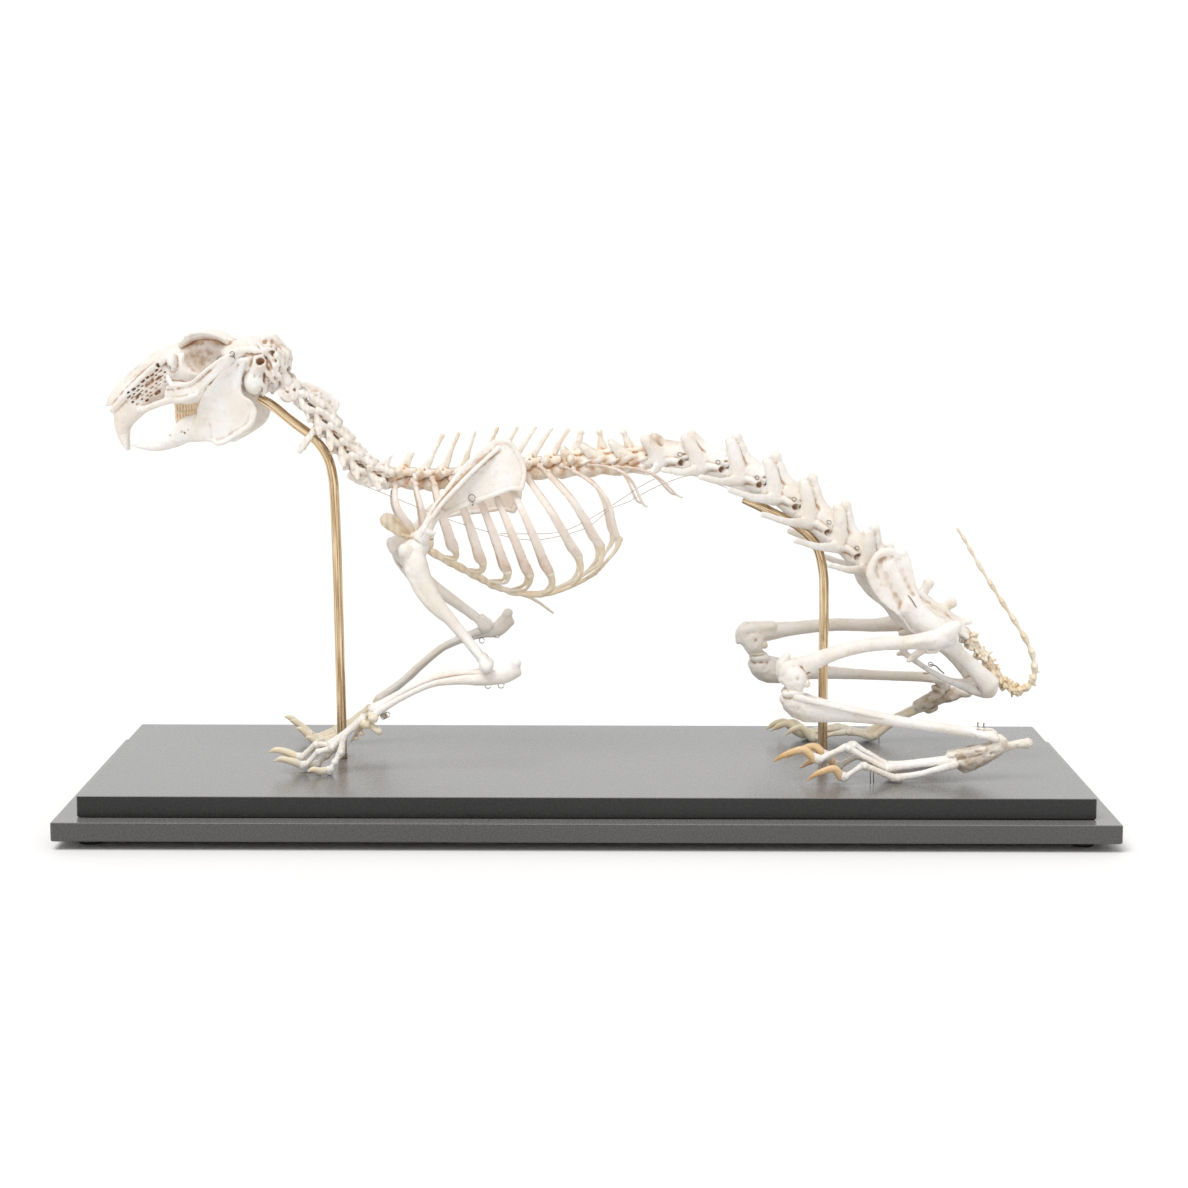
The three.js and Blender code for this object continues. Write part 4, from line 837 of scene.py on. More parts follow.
def brown_back_and_shaded_hollows(x, y, z):
    """Browner at the back of the head, with painted shade in the eye sockets, round the ear capsule and
    inside the snout's lattice.
    """
    ahead, c, s = x - NECK_JOINT[0], math.cos(HEAD_TURN), math.sin(HEAD_TURN)
    x, y = NECK_JOINT[0] + ahead * c - y * s, y * c + ahead * s
    back = np.clip((x + 163) / 14, 0, 0.42) * (z < 233) * (0.5 + 0.5 * np.sin(y * 0.9 + z * 0.7))
    # Painted shade in the recesses: deep in each eye socket, round the ear capsule and behind the lattice of
    # the snout.
    eye = 0.42 * (((x + 189) / 12) ** 2 + ((z - 224.4) / 11) ** 2 < 1) * (np.abs(y) < 7)
    ear = 0.5 * (((x + 164) / 7) ** 2 + ((z - 214) / 10) ** 2 < 1)
    inside = np.abs(y) < 8 - np.abs(x + 209) * 0.17
    snout = 0.34 * (((x + 216) / 14) ** 2 + ((z - 210) / 11) ** 2 < 1) * inside
    return np.maximum(np.maximum(back, eye), np.maximum(ear * (np.abs(y) < 11), snout))


def add_head():
    """Skull, lower jaw, teeth and the small parts of the head."""
    put("skull_bone", turn_head(skull_bone()), IVORY, "skull", stain_and_shade=brown_back_and_shaded_hollows)
    for side, s in SIDES:
        put(f"jaw_{side}", turn_head(jaw_bone(s)), IVORY, "mandible")
        upper = front_tooth(s, *UPPER_INCISOR)
        lower = front_tooth(s, *LOWER_INCISOR)
        put(f"upper_incisor_{side}", turn_head(upper), IVORY)
        put(f"lower_incisor_{side}", turn_head(lower), IVORY)
        put(f"upper_cheek_teeth_{side}", turn_head(cheek_teeth(s, -202.4, -187.6, 9.2, 205, 197.4, 0.6)),
            TOOTH)
        put(f"lower_cheek_teeth_{side}", turn_head(cheek_teeth(s, -202, -187.4, 9.3, 197.6, 193, 0.2)),
            TOOTH)
        knot = joined([ring((-170.7, s * 19.4, 226.6), 1.3, (0.2, 1, 0.1)),
                       ring((-169.8, s * 19, 225.4), 1.1, (1, 0.4, 0.2))])
        put(f"jaw_wire_{side}", turn_head(knot), WIRE)


# Backbone
def placer(places, i):
    """Places on vertebra i along the line through the bodies: ahead, out to the side, and up."""
    a, c = places[max(i - 1, 0)], places[min(i + 1, len(places) - 1)]
    forward = unit((a[0] - c[0], 0, a[1] - c[1]))
    up = raised((-forward[2], 0, forward[0]))
    centre = vec(places[i][0], 0, places[i][1])
    return lambda ahead, out, rise: centre + forward * ahead + up * rise + vec(0, out, 0)


# Middles of the bodies in the side view, and tips of the upright spines
NECK = [(-147, 206.8), (-138.2, 200.9), (-131.2, 192.8), (-125.3, 185), (-119.5, 177.4), (-113.6, 170.8),
        (-104, 165.5)]
CHEST = [(-92, 163.4), (-81.5, 162.6), (-72, 162.8), (-62.5, 163), (-53, 163.6), (-45, 164.8), (-37.5, 166.3),
         (-28.5, 168), (-18.5, 169), (-6.5, 169.8), (7.5, 170.6), (21.5, 171.4)]
CHEST_TIPS = [(-87, 178.5), (-71.5, 187), (-63.5, 188), (-55.5, 188.5), (-44.5, 190.5), (-34.5, 190.8),
              (-25.5, 190.8), (-17.5, 190.3), (-9.5, 189.8), (-3, 189.3), (5.5, 189.5), (17, 189.3)]
LOINS = [(37.5, 171.3), (57.5, 168.8), (76, 163), (94, 153.4), (110.5, 141.5), (125.5, 129.5), (139.5, 118.5)]
LOIN_TIPS = [(31.2, 187.3), (49.8, 188.6), (72.7, 187.8), (92.2, 178.8), (110.7, 168), (127.6, 154.5),
             (142.3, 143)]
# Tips of the knobs in front of the spines, and tips of the side processes as (x, out, z)
LOIN_KNOBS = [(26.2, 187.2), (46.2, 187.6), (68.6, 186.2), (87.2, 176.2), (105.2, 165.8), (122.6, 153.2),
              (137.4, 141.2)]
LOIN_SIDES = [(28.5, 11, 168.8), (36.5, 15, 170.8), (54.8, 17, 167.5), (69, 19, 161.4), (85.2, 20, 149.6),
              (101.4, 20, 136.8), (118.4, 17, 124.4)]


def first_neck_bone(p):
    """The broad ring that carries the head."""
    along = p(1, 0, 0) - p(0, 0, 0)
    b = Bone(0.45, 0.8)
    b.add(bar([p(0, -14, -2), p(0.4, -9, -0.6), p(0, -5.4, 1), p(0, -3.4, 4.6), p(0, 0, 6.2),
               p(0, 3.4, 4.6), p(0, 5.4, 1), p(0.4, 9, -0.6), p(0, 14, -2)],
              [(3.4, 1), (5, 1.2), (4.6, 2.2), (3.8, 1.8), (3.4, 1.5), (3.8, 1.8), (4.6, 2.2), (5, 1.2),
               (3.4, 1)], wide=along))
    b.add(bar([p(0, -5, -1), p(0.5, 0, -3.4), p(0, 5, -1)], [(3.4, 2), (2.8, 1.7), (3.4, 2)], wide=along))
    for s in (-1, 1):
        b.cut(bar([p(0.6, s * 8.2, -4), p(0.6, s * 8.2, 4)], [0.9, 0.9]), 0.3)
        b.cut(ball(p(-1.4, s * 6.2, 3.4), 0.9), 0.3)
        b.add(ball(p(3, s * 5, 0.6), (2.4, 2.2, 3)), 1)
    return b.mesh(0.3, 0)


def neck_bone(i):
    """A neck vertebra with its arch, wings and low spine."""
    p = placer(NECK, i)
    if i == 0:
        return first_neck_bone(p)
    b = Bone(0.45, 0.8)
    b.add(bar([p(4.6, 0, -0.6), p(0, 0, -1), p(-4.4, 0, -0.6)], [(4.8, 3.8), (4, 3.3), (4.9, 4)]))
    for s in (-1, 1):
        b.add(bar([p(3.6, s * 4.2, 1), p(0, s * 4.6, 3.6), p(-4, s * 4.4, 3.4)], [1.7, 1.6, 1.7]))
        b.add(bar([p(2.4, s * 4.2, 4.2), p(0, 0, 6.2), p(-2.6, s * 4.2, 4.6)], [1.7, 1.5, 1.7]))
        b.add(bar([p(5.4, s * 6, 3), p(1, s * 5.6, 5), p(-5.4, s * 5.8, 5.8)],
                  [(2.4, 2.2), (2, 1.7), (2.5, 2.1)]))
        b.add(bar([p(5, s * 5.6, 1), p(0, s * 6.6, -1), p(-4.6, s * 6, 0.6)], [1.5, 2, 1.6]))
        if i > 1:
            b.add(bar([p(2, s * 4, -1.4), p(-1, s * 7.2, -2.4), p(-4, s * 9.6, -3.8)],
                      [(1.4, 2.2), (1.1, 1.9), (0.8, 1.1)]))
            b.add(bar([p(3.6, s * 3.6, -2.6), p(4.6, s * 6.4, -4.6)], [1.4, 0.9]))
            b.cut(bar([p(5, s * 5.2, -0.9), p(-4, s * 5.6, -0.9)], [0.8, 0.8]), 0.3)
        b.cut(ball(p(-4.9, s * 4.8, 1.4), (1.3, 2.2, 1.2)), 0.4)
    if i == 1:
        b.add(plate([(-144, 203.6), (-143.4, 209.8), (-140, 212.4), (-133.6, 210.2), (-126.6, 206.4),
                     (-122.6, 201.6), (-124.4, 197.6), (-130, 198), (-136, 199)], 0, 1.2, 0.6), 1.6)
        b.add(bar([p(4, 0, -0.4), p(8.4, 0, 0.2)], [1.9, 1.3]), 1)
        for s in (-1, 1):
            b.add(bar([p(-1, s * 4, -2), p(-5, s * 8, -3.8)], [1.6, 0.8]))
            b.cut(bar([p(1.6, s * 7, 2.4), p(1.6, s * 2, 2.4)], [1.2, 1.2]), 0.3)
    else:
        height = 12.4 if i == 6 else 7.6
        b.add(bar([p(0, 0, 4.6), p(-0.8, 0, height)], [(1, 2.2), (0.7, 1.1)]), 1.2)
    if i == 2:
        for s in (-1, 1):
            b.add(bar(beside(s, [(-132.6, 4, 191.4), (-136.5, 7, 186.6), (-142, 9, 178.9)]),
                      [(1.2, 2), (0.9, 1.6), (0.9, 1.9)]))
    if i == 5:
        for s in (-1, 1):
            b.add(plate([(-117, 169.5), (-118.5, 165.5), (-114, 162), (-107, 160.6), (-103.5, 162),
                         (-106, 167)], s * 5, 0.7, 0.6), 1)
    b.cut(bar([p(7, 0, 2.9), p(-7, 0, 2.9)], [1.9, 1.9]), 0.5)
    return b.mesh(0.32, i)


def chest_bone(i):
    """A short vertebra with a thin leaning spine, or from the tenth on with a broad one and two knobs."""
    p = placer(CHEST, i)
    grown = i / 11
    half = np.linalg.norm(np.subtract(CHEST[min(i + 1, 11)], CHEST[min(i, 10)])) * 0.5 - 0.35
    wide, deep = mix(4.2, 5.2, grown), mix(3.8, 4.5, grown)
    b = Bone(0.45, 0.8)
    b.add(bar([p(half - 0.6, 0, -0.4), p(0, 0, -0.2), p(0.6 - half, 0, -0.4)],
              [(wide, deep), (wide * 0.78, deep * 0.8), (wide, deep)]))
    x, z = CHEST_TIPS[i]
    root, tip = p(-0.6, 0, 6), vec(x, 0, z)
    for s in (-1, 1):
        b.add(bar([p(half - 1, s * 3.4, 2.4), p(0, s * 4, 4.4), p(1 - half, s * 3.4, 4.6)], [1.7, 1.6, 1.4]))
        b.add(bar([p(1, s * 3, 5), p(0, 0, 6.6), p(-2.6, s * 2.8, 5)], [1.6, 1.4, 1.4]))
        b.add(bar([p(-half - 1, s * 2.6, 6), p(-half + 2, s * 2.8, 5.6)], [1.1, 1.4]))
        if i < 10:
            b.add(bar([p(1, s * 3.6, 3.6), p(1.6, s * 7.4, 5)], [1.9, 1.7]))
            b.add(ball(p(1.6, s * 7.4, 5.6), (1.7, 1.5, 1.9)), 0.5)
            b.cut(ball(p(0.2, s * 9, 4), (1.3, 0.9, 1.3)), 0.4)
        b.cut(ball(p(-half, s * 4.4, 1.8), (1.5, 2.6, 1.4)), 0.4)
    if i < 9:
        widths = [(1, 2.6), (0.8, 1.5), (0.7, 0.95), (0.8, 1.1)]
        if i < 1:
            widths = [(1, 3), (0.9, 2.1), (0.8, 1.7), (0.8, 1.5)]
        b.add(bar([root, mix(root, tip, 0.35), mix(root, tip, 0.8), tip - unit(tip - root) * 0.8], widths), 1)
    else:
        widths = [(1.5, 4.2), (1.2, 2.3), (1.1, 1.4), (1.5, 1.7)]
        b.add(bar([root, mix(root, tip, 0.4), mix(root, tip, 0.8), tip - unit(tip - root) * 1.6], widths), 1)
        b.add(bar([p(2, 0, 7.2), p(-half - 1, 0, 8.6)], [(3.4, 1.7), (3, 1.3)]), 1.2)
        knob = vec(*((x - 9.5, 0, 179.5), (-2.8, 0, 181.2), (11.2, 0, 183))[i - 9])
        for s in (-1, 1):
            b.add(bar([p(2, s * 4, 4), mix(p(2, s * 4, 4), knob + vec(0, s * 4.6, 0), 0.6),
                       knob + vec(0, s * 4.6, 0)], [(1.2, 3.8), (1.1, 2.4), (1.3, 1.6)]), 1)
            b.add(bar([p(0, s * 4, 2), p(-half - 1, s * 5, 4)], [1.4, 0.8]), 0.8)
    b.cut(bar([p(9, 0, 4), p(-9, 0, 4)], [1.6, 1.5]), 0.5)
    return b.mesh(0.22, 20 + i)


def loin_bone(i):
    """A long vertebra with a broad spine, knobs in front of it and long side processes."""
    p = placer(LOINS, i)
    b = Bone(0.5, 1.4)
    half = 8.4 if i < 6 else 7.2
    b.add(bar([p(half, 0, 1), p(half - 2, 0, 1), p(0, 0, 1), p(2 - half, 0, 1), p(-half, 0, 1)],
              [(5.2, 4), (5, 3.8), (3.6, 3), (5, 3.8), (5.4, 4.1)]))
    b.add(bar([p(5, 0, 7), p(-1, 0, 8.2), p(-7, 0, 8.4)], [(4.8, 2.4), (4.3, 3), (4.3, 2.4)]))
    tip = vec(LOIN_TIPS[i][0], 0, LOIN_TIPS[i][1])
    root = p(0, 0, 6.6)
    down = unit(root - tip)
    b.add(bar([root, mix(root, tip, 0.5), tip + down * 2.8], [(1.9, 5), (1.7, 3.6), (1.9, 2.7)]), 2)
    b.add(ball(tip + down * 2.5, (2.4, 2.2, 2.5)), 1)
    # The arch falls away behind the spine to the joint with the next vertebra.
    b.add(bar([mix(root, tip, 0.3), p(-half + 1.5, 0, 10.4), p(-half - 2.4, 0, 9.8)],
              [(2.6, 3.4), (3.2, 2.6), (3.6, 1.6)]), 2.2)
    for s in (-1, 1):
        knob = vec(LOIN_KNOBS[i][0] + 1.7, s * 4.7, LOIN_KNOBS[i][1] - 0.3)
        foot = p(2.4, s * 4.2, 0.6)
        b.add(bar([foot, mix(foot, knob, 0.5) + vec(0.8, s * 0.5, 0), knob + (0.2, 0, -2.4)],
                  [(2.2, 4.4), (1.9, 3.5), (2, 2.6)]), 2)
        b.add(bar([mix(foot, knob, 0.68), mix(root, tip, 0.5)], [(1.6, 3.2), (1.6, 3)]), 2)
        b.add(bar([p(0, s * 3.6, 6), p(-half - 1, s * 3.8, 7), p(-half - 3.8, s * 3.6, 7.8)],
                  [(1.8, 2.8), (1.6, 2.3), (1.2, 1.5)]), 1.3)
        b.add(bar([p(-1, s * 4.4, 3.2), p(-half + 0.5, s * 5.8, 3.6), p(-half - 2, s * 6.2, 3.8)],
                  [1.9, 1.3, 0.7]), 1)
        x, out, z = LOIN_SIDES[i]
        tip_out = vec(x, s * out, z)
        root_out = p(2.2, s * 4, 0.6)
        bend = mix(root_out, tip_out, 0.45) + (p(0, 0, -1.2) - p(0, 0, 0)) + vec(0, s * 1.8, 0)
        b.add(bar([root_out, bend, mix(bend, tip_out, 0.6), tip_out],
                  [(3, 1.5), (1.9, 1), (1.6, 0.9), (1.5, 0.8)], wide=p(0.3, -s * 0.1, 1) - p(0, 0, 0)), 1.6)
        b.cut(ball(p(-half + 0.2, s * 5.4, 3), (1.9, 3, 1.7)), 0.5)
        b.cut(ball(p(-half - 1, s * 6, 7.4), (1.8, 1.6, 0.9)), 0.4)
        b.cut(bar([p(half + 1, s * 2.9, 6.6), p(3, s * 2.9, 6.6)], [0.7, 0.5]), 0.3)
    b.cut(bar([p(12, 0, 4.8), p(-12, 0, 4.8)], [2.3, 2.3]), 0.6)
    return b.mesh(0.12, 40 + i)


def add_spine():
    """The vertebrae of neck, chest and loins."""
    faint = lambda x, y, z: 0.25 * np.sin(x * 1.3) ** 2 * (np.abs(y) > 2)
    for i in range(7):
        put(f"neck_bone_{i + 1}", neck_bone(i), IVORY, "cervical_spine", stain_and_shade=faint)
    for i, (_, middle) in enumerate(CHEST):
        near = lambda z: np.clip(1.1 - np.abs(z - middle - 1) / 7, 0, 0.95)
        brown = lambda x, y, z: near(z) * (0.5 + 0.5 * np.sin(x * 0.9))
        put(f"chest_bone_{i + 1}", chest_bone(i), STAINED, "thoracic_spine", stain_and_shade=brown)
    yellow = lambda x, y, z: np.clip((z - 181) / 5, 0, 0.6) * (x > 30)
    for i in range(7):
        put(f"loin_bone_{i + 1}", loin_bone(i), IVORY, "lumbar_spine", stain_and_shade=yellow if i == 0 else None)


TAIL_BASE = [(190.5, 85.5), (195, 80), (199, 75), (203.5, 69), (208.5, 63.5), (213.5, 59.5)]
TAIL_TIP = [(216, 58.8), (220, 60.2), (223.2, 64.4), (224, 70), (222.6, 77.4), (218.9, 85.2), (213.4, 94),
            (207.4, 102.8), (201.6, 111.6), (195.3, 121.4), (190.6, 129.4), (187.4, 134.8), (183.2, 141)]


def add_sacrum():
    """Three joined vertebrae, their spines and the wings that meet the hips."""
    b = Bone(0.5, 1.4)
    b.add(flat([(149.5, 113), (156, 108.4), (163, 104), (171, 99.4), (179, 94), (186, 89.4), (188.5, 87)],
               [(6.6, 4.8), (6.8, 4.6), (5.4, 4), (5.4, 4.2), (4, 3.4), (4.2, 3.4), (3.6, 2.8)]))
    b.add(flat([(154, 117), (166, 107.4), (178, 99.6), (187, 92.6)],
               [(4, 2), (3.6, 1.8), (3, 1.6), (2.4, 1.4)]))
    for root, tip, size in (((166, 106), (170, 113.2), 3), ((176.4, 99.6), (182, 103.4), 3),
                            ((185, 93), (190.6, 93.9), 1.7), ((156, 114.4), (157, 121), 1.5)):
        b.add(flat([root, mix(np.array(root), np.array(tip), 0.55), tip],
                   [(1.9, 3.6), (1.8, 2.4), (2.2, size)]), 1.4)
    for s in (-1, 1):
        b.add(bar(beside(s, [(154, 4, 111), (156, 9, 111.4), (157, 12.4, 112)]),
                  [(7, 4), (7.6, 3.2), (6, 1.8)], wide=(0.8, 0, -0.5)))
        b.add(bar(beside(s, [(164, 4.6, 103.4), (174, 6.2, 97.6), (184, 6.4, 90.4), (189, 6, 86.6)]),
                  [(1.4, 1.8), (1.3, 1.9), (1.2, 1.8), (1, 1.2)]), 1)
    b.cut(flat([(146, 120), (160, 112.4), (190, 91)], [1.8, 1.7, 1]), 0.5)
    put("sacrum_bone", b.mesh(0.1, 60), IVORY, "sacrum")


def add_tail_base(rng):
    """Six short tail bones with ragged spurs."""
    blotched = lambda x, y, z: 0.45 * np.sin(x * 1.7 + z * 1.1) ** 2
    for i, (x, z) in enumerate(TAIL_BASE):
        p = placer(TAIL_BASE, i)
        size = mix(3.1, 1.9, i / 5)
        b = Bone(0.4, 0.6)
        b.add(bar([p(2.9, 0, 0), p(0, 0, 0), p(-2.8, 0, 0)], [size, size * 0.74, size]))
        for _ in range(15):
            a = rng.uniform(0, 2 * np.pi)
            ahead = rng.uniform(-2.8, 2.8)
            reach = size + rng.uniform(0.3, 1.9) * (1.2 if math.sin(a) > 0 else 0.8)
            root = p(ahead, size * 0.6 * math.cos(a), size * 0.6 * math.sin(a))
            tip = p(ahead - rng.uniform(-0.6, 1.8), reach * math.cos(a), reach * math.sin(a))
            b.add(bar([root, tip], [rng.uniform(0.9, 1.4), rng.uniform(0.45, 0.95)]))
        put(f"tail_bone_{i + 1}", b.mesh(0.25, 70 + i), CREAM, "tail_base", stain_and_shade=blotched)


def add_tail_tip(rng):
    """Twelve tail bones, each waisted, the first few still spurred."""
    for i in range(len(TAIL_TIP) - 1):
        a, c = vec(TAIL_TIP[i][0], 0, TAIL_TIP[i][1]), vec(TAIL_TIP[i + 1][0], 0, TAIL_TIP[i + 1][1])
        size = mix(2, 0.95, i / 11)
        near, far = mix(a, c, 0.04), mix(a, c, 0.96)
        b = Bone(0.35, 0.5)
        b.add(bar([near, mix(a, c, 0.16), mix(a, c, 0.5), mix(a, c, 0.84), far],
                  [size * 0.95, size * 1.05, size * 0.56, size * 0.78, size * 0.35 if i == 11 else size]))
        if i < 9:
            for s in (-1, 1):
                b.add(ball(mix(a, c, 0.1) + vec(0, s * size * 0.9, 0.2), size * 0.5))
            b.add(ball(mix(a, c, 0.12) + vec(-size * 0.7, 0, size * 0.6), size * 0.45))
        if i < 3:
            for _ in range(5):
                u = rng.normal(size=3)
                b.add(bar([mix(a, c, rng.uniform(0.1, 0.9)), mix(a, c, 0.5) + unit(u) * size * 1.7],
                          [0.6, 0.35]))
        put(f"tail_bone_{i + 7}", b.mesh(0.06, 90 + i), CREAM, "tail_tip")


def add_tail():
    """Both lengths of the tail, from one row of random draws."""
    rng = np.random.default_rng(21)
    add_tail_base(rng)
    add_tail_tip(rng)


# Ribs: head and end in the side view, widest reach outward, how far the middle bows back, and half its width
RIBS = [
    ((-95, 162.5), (-88, 141), 8, -2.5, 1.9), ((-86, 164), (-79.5, 138.5), 11, 1, 1.6),
    ((-76.5, 165), (-65.5, 130), 13.5, 0, 2.3), ((-67, 165), (-51.5, 123.5), 15.5, 1, 2.2),
    ((-57.5, 165.5), (-39, 119), 17.5, 1, 2.2), ((-49, 166.5), (-28, 117.5), 19.5, 0.5, 2.2),
    ((-41, 168), (-18, 118.5), 21.5, 1, 2.2), ((-33, 170), (-4, 127.5), 23, 1.5, 2.2),
    ((-23.5, 171.5), (7, 133), 24, 3, 2.1), ((-12.5, 171.5), (16, 136.5), 23, 8, 1.4),
    ((0.5, 172), (29, 152.6), 20, 7.5, 0.9), ((14.5, 171), (46.3, 157), 17, 5, 0.8),
]
# How far the right ribs lie ahead of and below the left ones
RIGHT_SHIFT = (-2.7, -1.4)
# Where the gristle of the first six ribs meets the breastbone
GRISTLE_ENDS = [(-92, 137), (-80, 129.5), (-70.5, 125.5), (-59, 119), (-48, 113.5), (-38.5, 108.8)]
# The arch of gristle under the last ribs, and where ribs 7 to 10 join it
ARCH = [(-37.5, 1.5, 107.5), (-22, 5, 107.3), (-8, 9, 112.3), (4, 13, 119.2)]
ARCH_SHARES = [0.34, 0.66, 0.85, 1]


def rib_point(rib, s, t):
    """The place at share t of a rib, from its head to its lower end."""
    head, end, reach, bow, _ = rib
    low = 4 + (reach - 4) * math.sin(min(t, 0.45) / 0.45 * math.pi / 2)
    out = low if t < 0.45 else mix(reach, reach * 0.75, ((t - 0.45) / 0.55) ** 2)
    arch = math.sin(math.pi * min(t * 1.1, 1)) * bow
    shift = min(t / 0.3, 1) if s > 0 else 0
    run = np.subtract(end, head)
    length = np.linalg.norm(run)
    return vec(mix(head[0], end[0], t) - run[1] / length * arch + RIGHT_SHIFT[0] * shift, s * out,
               mix(head[1], end[1], t) + run[0] / length * arch + RIGHT_SHIFT[1] * shift)


def rib_bone(i, s):
    """A rib with its head, its knob and the groove along its inner side."""
    rib = RIBS[i]
    half = rib[4]
    b = Bone(0.42, 0.7)
    shares = [0, 0.05, 0.12, 0.25, 0.45, 0.65, 0.82, 0.94, 1]
    grown = [0.6, 0.55, 0.72, 0.74, 0.84, 1, 1, 1.12, 0.95]
    if i > 9:
        grown = [0.7, 0.7, 0.9, 1, 0.9, 0.8, 0.75, 0.7, 0.55]
    deep = [min(d, half) for d in (0.95, 0.8, 0.9, 0.8, 0.75, 0.72, 0.75, 1, 0.9)]
    line = [rib_point(rib, s, t) for t in shares]
    b.add(bar(line, [(half * g, d) for g, d in zip(grown, deep)], wide=(1, 0, 0.35), per=4))
    b.add(ball(line[0] + vec(-0.4, 0, 0), (1.6, 1.3, 1.6)))
    if i < 10:
        b.add(ball(rib_point(rib, s, 0.1) + vec(0.4, s * 0.4, 1.1), (1.3, 1, 1.2)))
    groove = [rib_point(rib, s, t) - vec(0, s * 1.2, 0) for t in (0.3, 0.5, 0.75)]
    b.cut(bar(groove, [(half * 0.4, 0.55)] * 3, wide=(1, 0, 0.35)), 0.6)
    return b.mesh(0.07, 110 + i + 20 * (s > 0), 40)


def arch_point(s, share):
    """A place on the arch of gristle, at a share of its length."""
    line = curve(beside(s, ARCH), 12)
    return line[int(round(share * (len(line) - 1)))]


# Breastbone: the gaps between its bones in the side view, their half sizes, and the blade behind them
BREAST_JOINTS = [(-101.2, 144.8), (-91.6, 137), (-79, 128.8), (-66, 121.6), (-54.6, 115.6), (-45.6, 110.6),
                 (-37, 107.8)]
BREAST_WIDTHS = [(1.7, 2.9), (1.7, 2.3), (1.8, 2.2), (2, 2.1), (2.1, 2), (2, 1.7)]
BREAST_BLADE = [(-36.6, 107.6), (-30, 105.8), (-24, 102.6), (-19.6, 99.4), (-17.2, 97.6)]


def add_gristle(side, s):
    """The strips from the ribs to the breastbone, and the arch that the last ribs share."""
    strips = []
    for i in range(10):
        start = rib_point(RIBS[i], s, 0.985)
        if i < 6:
            end = vec(GRISTLE_ENDS[i][0], s * 1.8, GRISTLE_ENDS[i][1])
        else:
            end = arch_point(s, ARCH_SHARES[i - 6])
        bend = mix(start, end, 0.45) + vec(2.6, s * 1.4, -2.8) * (1 if i < 9 else 0.35)
        b = Bone(0.4, 0.6).add(bar([start, mix(start, bend, 0.5) + vec(0.9, 0, 0), bend, end],
                                   [(1.9, 0.95), (1.3, 0.9), (0.95, 0.8), (0.9, 0.8)], wide=(1, 0, 0.35)))
        b.add(ball(start, (RIBS[i][4] * 0.95, 1, 1.6)))
        strips.append(b.mesh(0.12, 150 + i, 30))
    arch = Bone(0.4, 0.8).add(bar(beside(s, ARCH), [1.2, 1.15, 1.1, 1], per=8))
    put(f"gristle_{side}", joined([*strips, arch.mesh(0.15, 163)]), GRISTLE)


def add_breastbone():
    """Six short bones and a thin blade."""
    for i in range(6):
        a = vec(BREAST_JOINTS[i][0], 0, BREAST_JOINTS[i][1])
        c = vec(BREAST_JOINTS[i + 1][0], 0, BREAST_JOINTS[i + 1][1])
        wide, deep = BREAST_WIDTHS[i]
        line = [mix(a, c, t) for t in (0.05, 0.2, 0.5, 0.8, 0.95)]
        swell = ((0.8, 0.9), (1.2, 1), (0.8, 0.82), (1.2, 1.05), (1.1, 0.9))
        b = Bone(0.45, 0.8).add(bar(line, [(wide * m, deep * n) for m, n in swell]))
        if i == 0:
            b.add(plate([(-103.2, 144), (-101, 147.4), (-97.4, 147), (-88.6, 140.6), (-89.6, 136.4),
                         (-94, 136.6), (-102.4, 141.4)], 0, 0.9), 1.4)
        put(f"breast_bone_{i + 1}", b.mesh(0.16, 170 + i), CREAM, f"ribs_{'right' if i % 2 else 'left'}",
            stain_and_shade=lambda x, y, z: 0.35 * np.sin(x * 0.9) ** 2)
    blade = Bone(0.4, 0.8).add(flat(BREAST_BLADE, [(1.3, 1), (1.3, 0.8), (1.6, 0.7), (2.4, 0.6), (2, 0.5)]))
    put("breast_blade", blade.mesh(0.1, 178), GRISTLE)


def add_chest():
    """Ribs on both sides, their gristle and the breastbone."""
    tan = lambda x, y, z: np.clip((136 - z) / 26, 0, 0.5) + np.clip((z - 160) / 16, 0, 0.4)
    for side, s in SIDES:
        for i in range(12):
            node = f"ribs_{side}" if i < 10 else "thoracic_spine"
            put(f"rib_{i + 1}_{side}", rib_bone(i, s), RIB, node, stain_and_shade=tan)
        add_gristle(side, s)
    add_breastbone()


